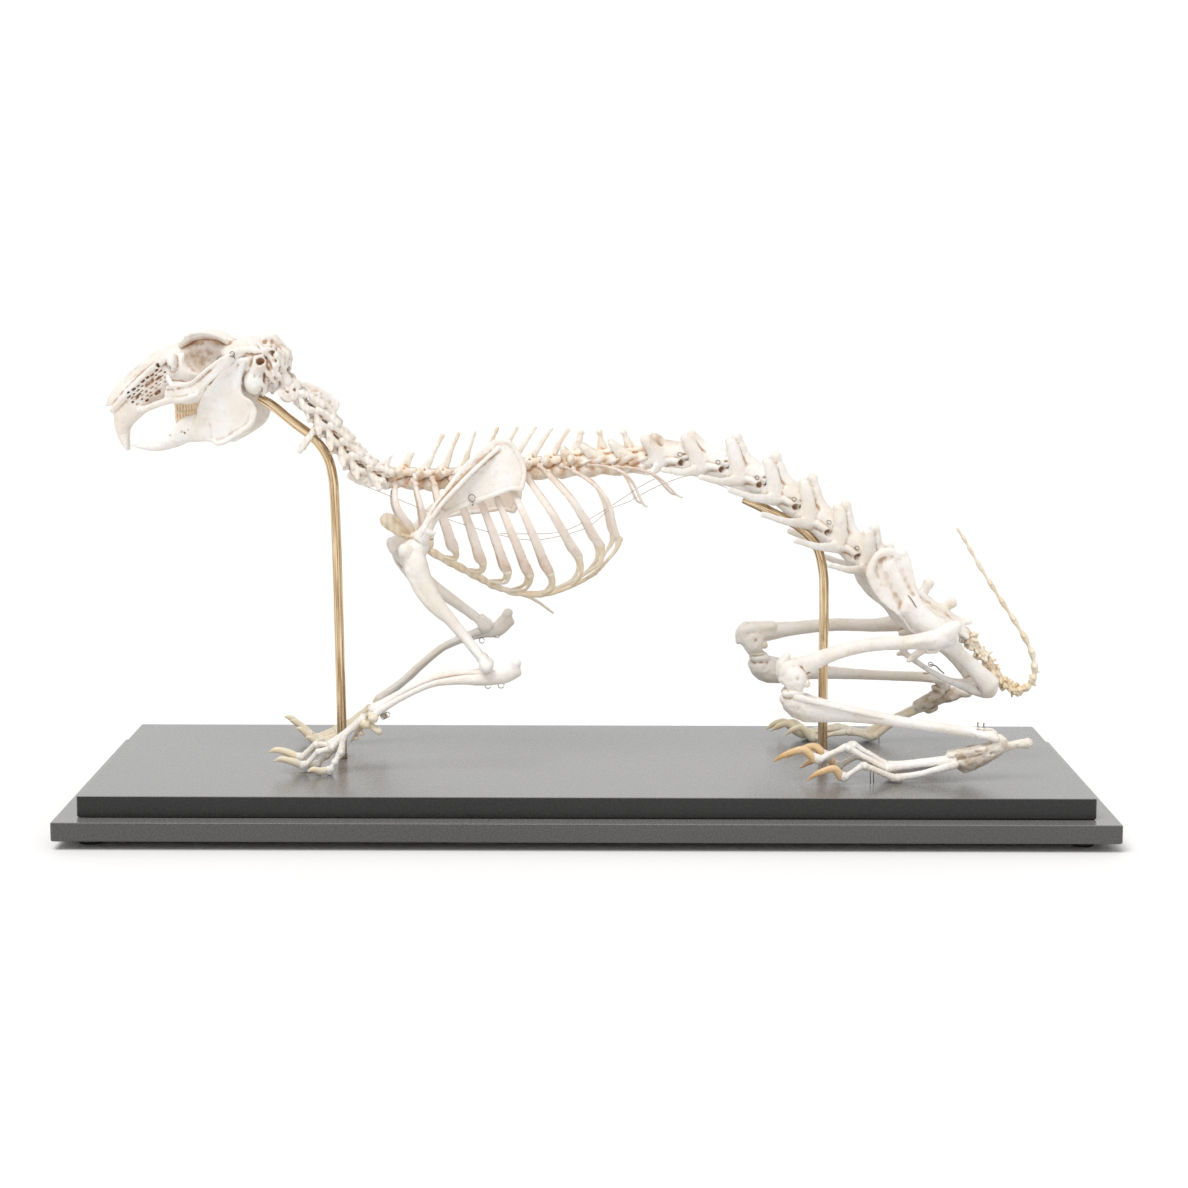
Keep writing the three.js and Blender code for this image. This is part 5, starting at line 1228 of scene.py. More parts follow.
# Front legs: joint places, the bones' lines as (share of the way from elbow to wrist, rise above that line),
# the row of places along a toe, and each digit as (y at its root, y at its tip, shorter by, lower by)
FRONT_LEGS = {
    "left": dict(
        shoulder=(-85.5, -26.5, 131.5), elbow=(-49, -32, 76.5), wrist=(-105.5, -31, 51.5),
        socket=(-81.2, -26, 137), top=(-41.5, -15.5, 185.3),
        ulna=[(-0.2, -7.3), (-0.1, -7.9), (0.08, -5.4), (0.25, -1.2),
              (0.44, 2), (0.6, 2.4), (0.78, 1.6), (0.95, 0.2)],
        radius=[(0.03, -2.8), (0.1, -1.6), (0.22, 1.4), (0.36, 3.8),
                (0.54, 4.7), (0.74, 3.8), (0.9, 2.6), (0.97, 2)],
        toe=[(-109.5, 50), (-118.5, 42.3), (-125.8, 35), (-131.6, 33.5),
             (-138, 27), (-145.1, 29.5), (-152.8, 29.6)],
        digits=[(-33, -44, 17, 5), (-31.5, -38.5, 0, 0), (-30, -33.5, -3, -3.6), (-28.5, -27.5, 7, 3.5)]),
    "right": dict(
        shoulder=(-96, 26.5, 128), elbow=(-52, 32, 86.5), wrist=(-108.5, 36, 46),
        socket=(-90.5, 26.5, 132.3), top=(-41.4, 22.5, 171),
        ulna=[(-0.16, -4.2), (-0.05, -5.1), (0.06, -2), (0.23, 1.4),
              (0.36, 2.6), (0.5, 2), (0.72, 0), (0.95, -0.6)],
        radius=[(0.03, -1.2), (0.1, 0.2), (0.22, 2.4), (0.36, 3.7),
                (0.54, 3), (0.74, 1.2), (0.9, 0.6), (0.97, 0.4)],
        toe=[(-111.5, 42.5), (-121.5, 35.5), (-131, 29.8), (-140.5, 25.8), (-146, 28.6), (-151, 32.8),
             (-157.5, 35.7)],
        digits=[(38, 45.5, 0, 0), (36.5, 40, 3.5, 1), (35, 34.5, 7, 4), (33.5, 29.6, 12.5, 8)]),
}
# The shoulder blade's outline, as (share of the way from socket to top corner, mm across that line)
SHOULDER_BLADE = [(0, -3.2), (0, 3.4), (0.1, 4.2), (0.23, 5.9), (0.42, 6.5), (0.62, 7), (0.78, 5.9),
                  (0.97, 2.7), (1.03, -2.1), (1.01, -9.2), (0.965, -15.4), (0.91, -18.9), (0.79, -23),
                  (0.74, -18.2), (0.66, -15.7), (0.52, -10.4), (0.42, -6.3), (0.31, -2.5), (0.23, 0),
                  (0.1, -0.6)]


def arm_bone(s, leg):
    """Upper arm: the round head and its knobs, the crest down the front, and the roller at the elbow."""
    shoulder, elbow = vec(*leg["shoulder"]), vec(*leg["elbow"])
    run = unit(elbow - shoulder)
    ahead = unit(np.cross((0, 1, 0), run))
    on = lambda t, bow, y=0.0: mix(shoulder, elbow, t) + ahead * bow + vec(0, y, 0)
    b = Bone(0.55, 1.8)
    b.add(bar([shoulder - run * 2 + vec(1, -s * 1.5, 0), on(0.08, 1.6), on(0.22, 3.6), on(0.4, 4.1),
               on(0.58, 2.7), on(0.78, 1.2), on(0.95, 0.2)],
              [(4.2, 4.4), (4.5, 5.8), (3.5, 4.9), (3, 3.9), (2.7, 3.1), (2.8, 2.6), (4.4, 2.7)]))
    b.add(ball(shoulder + vec(3.4, -s * 2, 1.6), (4.8, 4.6, 4.6)))
    b.add(ball(shoulder + vec(-3.6, s * 2.6, 0.6), (2.9, 2.5, 3.6)))
    b.add(ball(shoulder + vec(-2.4, -s * 4.6, -1), (2.4, 2, 3)))
    b.add(bar([on(0.1, 6.4, s * 2), on(0.26, 8.4, s * 1.4), on(0.42, 7.8, s * 0.6), on(0.52, 6, 0)],
              [1.7, 1.5, 1.3, 0.8]), 2)
    b.cut(bar([shoulder + vec(-6.4, -s, 2.4), on(0.14, 7.6, -s * 1.6)], [1.2, 0.8]), 1)
    b.cut(ball(shoulder + vec(1.6, s * 6.4, -4.4), (2.6, 1.6, 2.2)), 0.8)
    b.add(bar([elbow + vec(0, y, 0) for y in (-5, -2.4, 0, 2.2, 5)], [3.4, 2.8, 3.4, 2.8, 3.2]), 1)
    b.add(ball(elbow - run * 3 + vec(0, -5.2, 0), (2.2, 1.8, 3.2)), 1.2)
    b.add(ball(elbow - run * 3 + vec(0, 5.2, 0), (2.2, 1.8, 3.2)), 1.2)
    b.cut(bar([elbow - run * 5.8 - ahead * 7, elbow - run * 5.8 + ahead * 7], [(1.9, 1.6)] * 2), 0.9)
    return b.mesh(0.09, 200)


def shoulder_blade(s, leg):
    """A thin plate with raised rims, and its spine, which ends in a hook with a backward spur."""
    socket, top = vec(*leg["socket"]), vec(*leg["top"])
    run = vec(top[0] - socket[0], 0, top[2] - socket[2])
    length = np.linalg.norm(run)
    line = run / length
    across = vec(-line[2], 0, line[0])

    def depth(x, z):
        share = ((x - socket[0]) * line[0] + (z - socket[2]) * line[2]) / length
        return mix(socket[1], top[1], share) + s * 1.6 * np.sin(np.clip(share, 0, 1) * np.pi)

    def on(share, out, lift=0.0):
        p = socket + line * share * length + across * out
        return vec(p[0], depth(p[0], p[2]) + s * lift, p[2])

    b = Bone(0.45, 1.1)
    b.add(plate([(on(*c)[0], on(*c)[2]) for c in SHOULDER_BLADE], depth, 0.62, 0.5, 3))
    b.add(bar([on(0.01, 0.2), on(0.07, 0.6), on(0.16, 1.8), on(0.26, 2.6)],
              [(3.2, 3.9), (2.6, 3.2), (1.7, 2.4), (1.1, 2.6)]), 1.6)
    b.add(bar([on(0.02, 3.4, -1), on(-0.02, 4.6, -2)], [1.6, 1.1]), 1)
    b.add(bar([on(0.22, 0.6), on(0.42, -5.6), on(0.6, -12.4), on(0.74, -17.6), on(0.8, -22)],
              [1.2, 1.05, 0.95, 0.95, 0.9]), 1)
    b.add(bar([on(0.26, 5.4), on(0.45, 6), on(0.64, 6.4), on(0.82, 4.8)], [0.9, 0.8, 0.75, 0.75]), 0.9)
    b.add(bar([on(0.81, -21.8), on(0.92, -17.8), on(1, -9), on(1.01, -2), on(0.95, 2.4)],
              [1, 0.95, 0.95, 0.95, 0.9]), 0.9)
    spine = [(0.93, -0.6, 0.6), (0.82, 0.6, 2.2), (0.66, 2.2, 4), (0.48, 3.2, 5), (0.32, 3.8, 5.6),
             (0.2, 3.2, 6)]
    b.add(bar([on(t, out, lift * 0.5) for t, out, lift in spine],
              [(lift * 0.5 + 0.6, 0.62) for t, out, lift in spine]), 1.4)
    b.add(bar([on(t, out - 0.5, lift) for t, out, lift in spine], [0.6, 0.8, 1, 1.1, 1.1, 1]), 0.9)
    b.add(bar([on(0.2, 3.2, 6), on(0.1, 2.6, 6.2), on(0.03, 1.6, 5.6)], [1, 1.1, 0.9]), 0.8)
    b.add(bar([on(0.1, 2.4, 6.2), on(0.1, -0.4, 6.2), on(0.12, -2.8, 5.6)],
              [(0.9, 1.7), (0.9, 1.5), (0.8, 1)]), 1)
    b.cut(ball(socket - line * 3.4, (3.4, 3.2, 3.4)), 0.6)
    return b.mesh(0.06, 210)


def forearm_bones(s, leg):
    """Ulna with the elbow's notch and point, and radius."""
    elbow, wrist = vec(*leg["elbow"]), vec(*leg["wrist"])
    run = wrist - elbow
    line = unit(run)
    rise = raised(np.cross(line, (0, 1, 0)))
    on = lambda share, up, out: elbow + run * share + rise * up + vec(0, out, 0)
    ulna = Bone(0.5, 1.1)
    ulna.add(bar([on(t, up, s * 1.3) for t, up in leg["ulna"]],
                 [(2, 4), (2, 4), (2.4, 3), (1.5, 2.2), (1.3, 1.6), (1.3, 1.5), (1.3, 1.5), (1.9, 1.9)]))
    ulna.add(ball(on(leg["ulna"][0][0] - 0.02, leg["ulna"][0][1] + 2.6, s * 1.3), (2.6, 2.4, 2.6)), 1)
    ulna.add(ball(on(-0.02, leg["ulna"][1][1] + 3.4, s * 1.3), (1.6, 2.2, 1.8)), 1)
    ulna.add(ball(on(0.975, -0.6, s * 1.6), (2, 1.8, 1.8)), 1)
    ulna.cut(bar([elbow + vec(0, y, 0) for y in (-7, 7)], [3.55, 3.55]), 0.4)
    radius = Bone(0.5, 1.1)
    radius.add(bar([on(t, up, -s * 1.6) for t, up in leg["radius"]],
                   [(3.6, 2.3), (2.4, 1.9), (1.8, 1.7), (1.8, 1.7), (1.8, 1.7), (2, 1.8), (2.6, 2.2),
                    (3, 2.6)]))
    radius.cut(bar([elbow + vec(0, y, 0) for y in (-7, 7)], [3.55, 3.55]), 0.4)
    groove = [on(t, up - 1.9, -s * 3.2) for t, up in leg["radius"][2:6]]
    radius.cut(bar(groove, [0.5] * 4), 0.4)
    return ulna.mesh(0.08, 220), radius.mesh(0.08, 221)


# How much of a digit's shortening and lowering each of its seven places takes
SHORTER = (0, 0, 0.3, 0.5, 0.75, 0.9, 1)
LOWER = (0, 0.12, 0.4, 0.9, 0.9, 1, 1)
HIND_LOWER = (0.2, 0.5, 0.95, 1, 0.95, 1, 1)


def add_digit(name, toe, row, size, bone, claw, fall=LOWER):
    """Palm or sole bone, two toe bones and an arched claw."""
    root_y, tip_y, shorter, lower = row
    floor = GROUND + 0.3 + size * 1.05
    line = [vec(x + shorter * SHORTER[i], mix(root_y, tip_y, i / 6), max(z - lower * fall[i], floor))
            for i, (x, z) in enumerate(toe)]
    parts = []
    for a, c, thick in ((line[0], line[2], 1.0), (line[2], line[3], 0.92), (line[3], line[4], 0.84)):
        middle = mix(a, c, 0.5) + (line[1] - mix(a, c, 0.5) if thick == 1 else vec(0, 0, 0.2))
        b = Bone(0.4, 0.6)
        b.add(bar([mix(a, c, 0.03), mix(a, middle, 0.4), middle, mix(middle, c, 0.6), mix(a, c, 0.96)],
                  [size * thick * k for k in (1.05, 0.9, 0.78, 0.86, 1.08)]))
        b.add(ball(mix(a, c, 0.95) + vec(0, size * 0.45, 0), size * thick * 0.85), 0.4)
        b.add(ball(mix(a, c, 0.95) - vec(0, size * 0.45, 0), size * thick * 0.85), 0.4)
        b.add(ball(mix(a, c, 0.93) - vec(0, 0, size * thick * 0.55), size * thick * 0.5), 0.4)
        parts.append(b.mesh(0.15, 230, 20))
    knob = Bone(0.4, 0.6).add(ball(mix(line[4], line[5], 0.06), (size * 1.25, size, size * 1.2)))
    knob.add(bar([line[4], mix(line[4], line[5], 0.5)], [(size * 0.8, size * 1.1), (size * 0.6, size * 0.9)]))
    parts.append(knob.mesh(0.06, 231, 20))
    put(f"{name}_bones", joined(parts), bone)
    arch = mix(line[4], line[6], 0.5)
    top = line[5] + unit(line[5] - arch + vec(0, 0, 0.001)) * 0.2
    low, far = line[4] - line[6], line[6]
    path = [line[4] - low * 0.1, mix(line[4], top, 0.62), top, mix(top, far, 0.6) + vec(0, 0, size * 0.55),
            far]
    shares = ((0.72, 0.95), (0.78, 1), (0.72, 0.92), (0.54, 0.68))
    widths = [(size * m, size * n) for m, n in shares]
    horn = Bone(0.38, 0.5).add(bar(path, [*widths, (0.25, 0.3)], per=6))
    start = line[4][0]
    darker = lambda x, y, z: np.clip((start - x) / 26, 0, 0.7)
    put(f"{name}_claw", horn.mesh(0.03, 232, 20), claw, stain_and_shade=darker)


def add_wrist(side, s, wrist):
    """Two rows of small stones, the heel knob of the forefoot, and the short thumb."""
    rng = np.random.default_rng(31)
    stones = []
    for row, (dx, dz) in enumerate(((0.6, -0.6), (-3.4, -4))):
        for k in range(4):
            place = wrist + vec(dx + rng.uniform(-0.5, 0.5), -4 + k * 2.7, dz + rng.uniform(-0.5, 0.5))
            stone = Bone(0.4, 0.5).add(ball(place, (2.4, 1.7, 2.2), (0, 35, 0)))
            stone.add(ball(place + vec(-0.8, 0.2, 0.5), (1.7, 1.4, 1.5)))
            stones.append(stone.mesh(0.36, 240 + row * 4 + k))
    heel = Bone(0.4, 0.7).add(bar([wrist + vec(-1, s * 1.5, -4.5), wrist + vec(2, s * 1.8, -6.6),
                                   wrist + vec(3.6, s * 2, -7.8)], [1.9, 1.6, 1.9]))
    heel.add(ball(wrist + vec(-5, s, -9), (1.6, 1.5, 1.4)))
    heel.add(ball(wrist + vec(-8, 0, -11.6), (1.5, 1.5, 1.2)))
    put(f"wrist_bones_{side}", joined([*stones, heel.mesh(0.3, 250)]), CREAM, f"forefoot_{side}")
    thumb = Bone(0.4, 0.5).add(bar([wrist + vec(-4, -s * 4, -5.5), wrist + vec(-8, -s * 5.4, -10.4)],
                                   [1.3, 1]))
    thumb.add(bar([wrist + vec(-8, -s * 5.4, -10.6), wrist + vec(-11, -s * 6, -14.6)], [1, 0.6]))
    put(f"thumb_{side}", thumb.mesh(0.06, 251), CREAM, f"forefoot_{side}")


def add_front_leg(side, s):
    """One side from the shoulder blade to the toes."""
    leg = FRONT_LEGS[side]
    look = IVORY if s < 0 else SHADED
    put(f"arm_bone_{side}", arm_bone(s, leg), look, f"humerus_{side}")
    put(f"shoulder_blade_{side}", shoulder_blade(s, leg), look, f"scapula_{side}")
    ulna, radius = forearm_bones(s, leg)
    put(f"ulna_{side}", ulna, look, f"forearm_{side}")
    put(f"radius_{side}", radius, look, f"forearm_{side}")
    add_wrist(side, s, vec(*leg["wrist"]))
    for k, row in enumerate(leg["digits"]):
        add_digit(f"fore_digit_{k + 1}_{side}", leg["toe"], row, 1.95, CREAM if s > 0 else IVORY, PALE_CLAW)


# Pelvis: each half is drawn beside the mid-plane, and both are turned a little about the upright
HIP_TURN = math.radians(8)


def turn_hips(points):
    """The right half comes forward and the left half goes back."""
    points = np.atleast_2d(points).astype(float)
    x, y = points[:, 0] - 170, points[:, 1]
    c, s = math.cos(HIP_TURN), math.sin(HIP_TURN)
    return np.stack([170 + x * c - y * s, x * s + y * c, points[:, 2]], 1)


def hip_at(s):
    """The middle of a hip socket."""
    return turn_hips((173.5, s * 19, 88.8))[0]


def hip_bone(s):
    """Wing, shaft to the hip socket, seat bone, and the thin front bar round the opening below."""
    b = Bone(0.55, 1.8)
    wing = [(134.6, 119), (134.6, 122.4), (137, 127), (141.4, 131.8), (146.4, 132.2), (150, 130.6),
            (153.6, 131.8), (156, 128), (158.6, 117), (160.6, 109), (165, 100), (171, 93), (165, 88),
            (157, 91), (151.4, 98.4), (142, 106), (137, 113)]
    tilt = lambda x, z: s * (15.6 - (z - 95) * 0.06 - 0.9 * np.cos((x - 147 + (z - 115) * 0.5) * 0.17))
    b.add(plate(wing, tilt, 1.3, 0.9, 3))
    b.add(bar(beside(s, [(139, 14.4, 113), (136.4, 15, 121), (139.6, 14.6, 129), (146, 13.6, 131),
                         (152, 12.6, 130.4)]), [0.9, 1, 1, 1, 1.2]), 3)
    b.add(bar(beside(s, [(153, 12.8, 129.4), (155.4, 13.4, 122), (158.4, 14.2, 112), (163, 15.4, 101.6)]),
              [1.8, 1.2, 1.2, 1.8]), 1.8)
    b.add(bar(beside(s, [(156, 15.4, 104), (161, 16.4, 97.6), (167, 17, 92)]),
              [(0.9, 2.4), (2.2, 4.6), (3.6, 6)]), 3.4)
    b.add(bar(beside(s, [(156, 15.8, 104), (164, 16.4, 96.6), (173, 17, 89), (180, 15.4, 81.6),
                         (187, 13.8, 74.4), (193.6, 12.8, 67.6), (199, 12.2, 62.4)]),
              [(2.6, 5), (3.4, 5.4), (5, 7), (2.8, 4.3), (2.1, 3.3), (2.2, 3.9), (2.8, 5.4)]), 2)
    b.add(bar(beside(s, [(186, 12.4, 79), (194, 11.6, 72), (201, 11.4, 64), (200, 10.4, 58.6),
                         (191, 8, 60)]), [(1.6, 1.2), (1.8, 1.6), (2.4, 2.2), (2.6, 2.4), (2, 2)]), 1.8)
    b.add(bar(beside(s, [(171, 15, 86.4), (165, 12, 81.4), (160.4, 9.4, 77.6), (163, 5, 74.6),
                         (168, 2.6, 71), (175, 2.2, 66.8), (183, 3.6, 63), (190, 7, 60.8),
                         (197, 10.4, 60)]),
              [(2, 2.8), (1.3, 1.7), (1.5, 1.9), (1.1, 1.4), (1, 1.3), (1.1, 1.4), (1.2, 1.6), (1.6, 2.4),
               (2.2, 3.2)]), 1.6)
    b.add(bar(beside(s, [(159.4, 9.4, 76.6), (157.4, 10, 75.8)]), [1.5, 0.9]), 0.8)
    b.cut(ball((173.5, s * 22, 88.8), (6, 6.2, 6)), 0.8)
    b.add(bar(beside(s, [(146, 13.6, 124), (150.6, 14.4, 115), (157, 15, 104)]), [1, 1.4, 2.4]), 4)
    points, faces = b.mesh(0.08, 260)
    return turn_hips(points), faces


# Hind legs: joint places, how far the thigh bows above the line from hip to knee, the heel and instep as
# (x, z, half width, half depth), the row of places along a toe, and the digits as in front
HIND_LEGS = {
    "left": dict(
        knee=(97.5, -49, 74.5), kneecap=(93.6, -49, 80), shin=(97.8, -49, 60),
        ankle=(199, -47, 44.5), bow=(3, 6, 5.4),
        heel=[(213.6, 41.2, 2.8, 2.9), (209, 41, 2.1, 2.3), (203, 39.6, 2.2, 2.9), (197, 38.4, 3.8, 4.4)],
        instep=[(198, 39, 4.4, 4.6), (190, 35.2, 5.6, 5.6), (183, 33, 6.2, 5.2), (176, 33.8, 5.6, 3.2)],
        toe=[(178, 34), (161, 32), (144.5, 30.2), (126.5, 40.8), (114.5, 34.6), (107, 39.4), (93, 33.8)],
        digits=[(-54, -61, 12.5, 8.4), (-51.2, -55.5, -3.6, 0.2),
                (-48.5, -49.5, 3, -0.4), (-45.8, -43, 10.5, 6)]),
    "right": dict(
        knee=(82.8, 36, 79.5), kneecap=(78.8, 36, 82.4), shin=(87.5, 37, 62.8),
        ankle=(184, 45, 57), bow=(1, 3.2, 3),
        heel=[(197.4, 49.6, 2.8, 2.8), (193, 49.2, 2.4, 2.6), (188.6, 48.2, 3.2, 3.8)],
        instep=[(190, 49, 3.6, 3.8), (183, 47, 4.4, 4.2), (177, 44.2, 4.8, 3.8), (171, 41, 4.6, 2.7)],
        toe=[(176, 43), (162.5, 36.8), (145.5, 27.2), (131, 30.4), (112, 27), (103.5, 32.4), (94.5, 28.4)],
        digits=[(51, 58, 5, 1.2), (48.8, 52.5, -1, 0), (46.4, 47, 1, 0), (44, 41, 8, 1)]),
}


def thigh_bone(s, leg):
    """Head and trochanters, the bowed shaft, and the two rollers of the knee."""
    hip, knee = hip_at(s) + vec(0, s * 2, 0), vec(*leg["knee"])
    thigh = unit(knee - hip)
    lift = raised(np.cross(thigh, (0, 1, 0)))
    on = lambda t, up, out=0.0: mix(hip, knee, t) + lift * up + vec(0, s * out, 0)
    b = Bone(0.55, 2)
    b.add(ball(hip, 5))
    b.add(bar([hip, on(0.06, 0.6, 5)], [3.2, 3.6]))
    b.add(bar([on(-0.02, 3, 6.4), on(0.07, 1.6, 6), on(0.25, leg["bow"][0], 4), on(0.5, leg["bow"][1], 2),
               on(0.75, leg["bow"][2], 1), on(0.92, 2.4, 0)],
              [(3.2, 4.2), (3.6, 4.7), (3.2, 3.5), (3.1, 3.3), (3.5, 3.7), (5, 5.2)]))
    b.add(bar([on(-0.07, 5.4, 6.6), on(0, 4.6, 7)], [3, 3.4]))
    b.add(bar([on(0.1, 2, 9), on(0.17, 3, 8.4), on(0.24, 3, 6.6)], [1.2, 1.6, 0.9]))
    b.add(bar([on(0.08, -3.6, 3), on(0.13, -4, 2.4)], [2.4, 1.4]))
    b.cut(ball(on(-0.045, -1.4, 7), (2.4, 2.2, 2.4)), 1)
    for k in (-1, 1):
        centre = knee + vec(1, k * 4.1, 0)
        b.add(ball(centre + vec(1.2, 0, -1.2), (5.8, 3, 6.6)), 1.2)
        b.add(bar([on(0.86, 5.4, s * k * 2.6), centre + vec(-3.6, -k, 4),
                   centre + vec(-4.6, -k, -1)], [2.2, 2.7, 2.1]), 1.2)
        b.cut(ball(centre + vec(2.4, k * 3.4, 0), (1.6, 1, 1.6)), 0.8)
    b.add(ball(knee + vec(0, 0, 1), (5.2, 5.4, 6)), 1.6)
    b.cut(bar([knee + vec(6, 0, -6), knee + vec(8.4, 0, 1)], [(1.6, 2), (1.4, 1.6)]), 1)
    return b.mesh(lambda x: 0.08 + 0.2 * np.clip((knee[0] + 9 - x) / 6, 0, 1), 270)


def shin_bones(s, leg):
    """Tibia, three-sided at the knee, and the thin fibula that runs into it."""
    shin, ankle = vec(*leg["shin"]), vec(*leg["ankle"])
    on = lambda t, up, out=0.0: mix(shin, ankle, t) + vec(0, s * out, up)
    tibia = Bone(0.55, 1.8)
    tibia.add(bar([on(0.018, 2.2), on(0.07, 0.4), on(0.16, 0), on(0.3, 0.4), on(0.5, 0.2), on(0.75, 0.2),
                   on(0.9, 0.5), on(0.965, 0.6)],
                  [(6.2, 5.8), (5.6, 6.6), (4.2, 5.6), (3.4, 4), (2.9, 2.9), (2.8, 2.5), (3.3, 2.7),
                   (4, 3.2)]))
    tibia.add(bar([on(-0.028, 2.8), on(0.015, -3), on(0.1, -4.8), on(0.24, -2.6)], [2.4, 2, 1.5, 0.8]), 1.6)
    tibia.add(ball(on(0.01, 6.6, 3.4), (5.2, 3.2, 2.6)), 1.2)
    tibia.add(ball(on(0.01, 6.6, -3.4), (5.2, 3.2, 2.6)), 1.2)
    tibia.cut(ball(on(0.01, 10, 0), (3.4, 1.6, 1.8)), 1)
    tibia.cut(bar([on(0.08, 2.4, 7.6), on(0.2, 1.8, 5.8), on(0.34, 1.2, 4.2)],
                  [(1.2, 2.2), (1, 1.8), (0.7, 1)]), 1.6)
    for k in (-1, 1):
        tibia.add(bar([on(0.9, 0, k * 2.6), on(0.985, -0.6, k * 3.4)], [1.5, 1.7]), 1)
        tibia.cut(bar([on(0.9, 2.6, k * 1.4), on(0.99, 3, k * 1.2)], [0.7, 0.9]), 0.7)
    tibia.cut(ball(ankle + vec(0.5, 0, -3.6), (3, 3.6, 3)), 0.6)
    fibula = Bone(0.45, 0.9)
    fibula.add(bar([on(0.02, 5.6, 5.6), on(0.1, 4.8, 5.8), on(0.25, 3, 4.6), on(0.44, 1.2, 2.6)],
                   [(1.4, 1.9), (0.9, 1.4), (0.9, 1.2), 0.9]))
    rough = lambda x: 0.08 + 0.24 * np.clip((shin[0] + 12 - x) / 6, 0, 1)
    return tibia.mesh(rough, 280), fibula.mesh(0.07, 281)


def add_heel(side, s, leg):
    """The heel bone with its two knobs, and the instep bones with ridges and pits."""
    ankle = vec(*leg["ankle"])
    instep = leg["instep"]
    heel = Bone(0.45, 1.2)
    for row, y in ((leg["heel"], ankle[1] - s * 0.6), (instep, ankle[1] + s * 0.8)):
        widths = [(wide * 0.92, deep * 0.88) for x, z, wide, deep in row]
        heel.add(bar([(x, y, z) for x, z, wide, deep in row], widths), 1.4)
    for out in (-2.4, 2.4):
        heel.add(ball(ankle + vec(0.5, out, -2.6), (3.8, 1.9, 3.6)), 0.8)
    for k in (-1, 0, 1):
        middle = vec(instep[1][0], ankle[1] + s * 0.8 + k * 3.4, instep[1][1] + 3.4)
        front = vec(instep[3][0], ankle[1] + s * 0.8 + k * 4, instep[3][1] + 1.6)
        heel.add(bar([ankle + vec(-4, k * 2.6, -5), middle, front], [1.5, 1.9, 1.8]), 0.7)
    under = vec(instep[2][0], ankle[1] + s * 1.4, instep[2][1])
    heel.add(bar([under + vec(4, 0, -3), under + vec(0, 0, -4.4), under + vec(-2, 0, -3.4)],
                 [1.5, 1.7, 1.2]), 1.2)
    rng = np.random.default_rng(41)
    for _ in range(26):
        x, z, wide, deep = instep[rng.integers(0, 4)]
        place = vec(x + rng.uniform(-3, 3), ankle[1] + s * (0.8 + wide), z + rng.uniform(-0.7, 0.8) * deep)
        heel.cut(ball(place, (rng.uniform(0.8, 2.4), 0.7, rng.uniform(0.5, 1.1))), 0.5)

    def brown(x, y, z):
        away = np.hypot((x - instep[1][0]) / 13, (z - instep[1][1] + 1) / 8)
        return np.clip(1.6 - away, 0, 1) * (0.62 + 0.38 * np.sin(x * 0.7 + 1) * np.sin(z * 0.9))

    put(f"heel_bones_{side}", heel.mesh(0.3, 300), HEEL, f"hindfoot_{side}", stain_and_shade=brown)


def kneecap_bone(leg):
    """A small almond in front of the knee."""
    cap = vec(*leg["kneecap"])
    outward = unit(cap - vec(*leg["knee"]))
    path = [cap + outward * 0.2 + vec(-1, 0, -4.6), cap + outward * 0.5, cap + outward * 0.4 + vec(2.6, 0, 4)]
    return Bone(0.45, 0.8).add(bar(path, [(2.2, 1.7), (3.2, 2.3), (2.2, 1.8)])).mesh(0.1, 290)


def knee_beans(leg):
    """Two small beans behind the knee, and two pads of gristle inside it."""
    knee, shin = vec(*leg["knee"]), vec(*leg["shin"])
    forms = [(ball(knee + vec(8, k * 4.4, -3), (1.7, 1.5, 2)), 291) for k in (-1, 1)]
    forms += [(ball(mix(knee, shin, 0.47) + vec(1.6, k * 3.4, 0.3), (4.6, 2.8, 1)), 292) for k in (-1, 1)]
    return joined([Bone(0.4, 0.5).add(form).mesh(0.1, seed) for form, seed in forms])


def add_hind_leg(side, s):
    """One side from the thigh to the toes."""
    leg = HIND_LEGS[side]
    look = IVORY if s < 0 else SHADED
    put(f"hip_bone_{side}", hip_bone(s), look, f"hip_{side}")
    put(f"thigh_bone_{side}", thigh_bone(s, leg), look, f"femur_{side}")
    put(f"kneecap_bone_{side}", kneecap_bone(leg), look, f"kneecap_{side}")
    tibia, fibula = shin_bones(s, leg)
    put(f"tibia_bone_{side}", tibia, look, f"tibia_{side}")
    put(f"fibula_{side}", fibula, look, f"tibia_{side}")
    put(f"knee_beans_{side}", knee_beans(leg), CREAM)
    add_heel(side, s, leg)
    for k, row in enumerate(leg["digits"]):
        add_digit(f"hind_digit_{k + 1}_{side}", leg["toe"], row, 2.05, IVORY if s < 0 else CREAM,
                  AMBER if s < 0 else PALE_CLAW, HIND_LOWER)


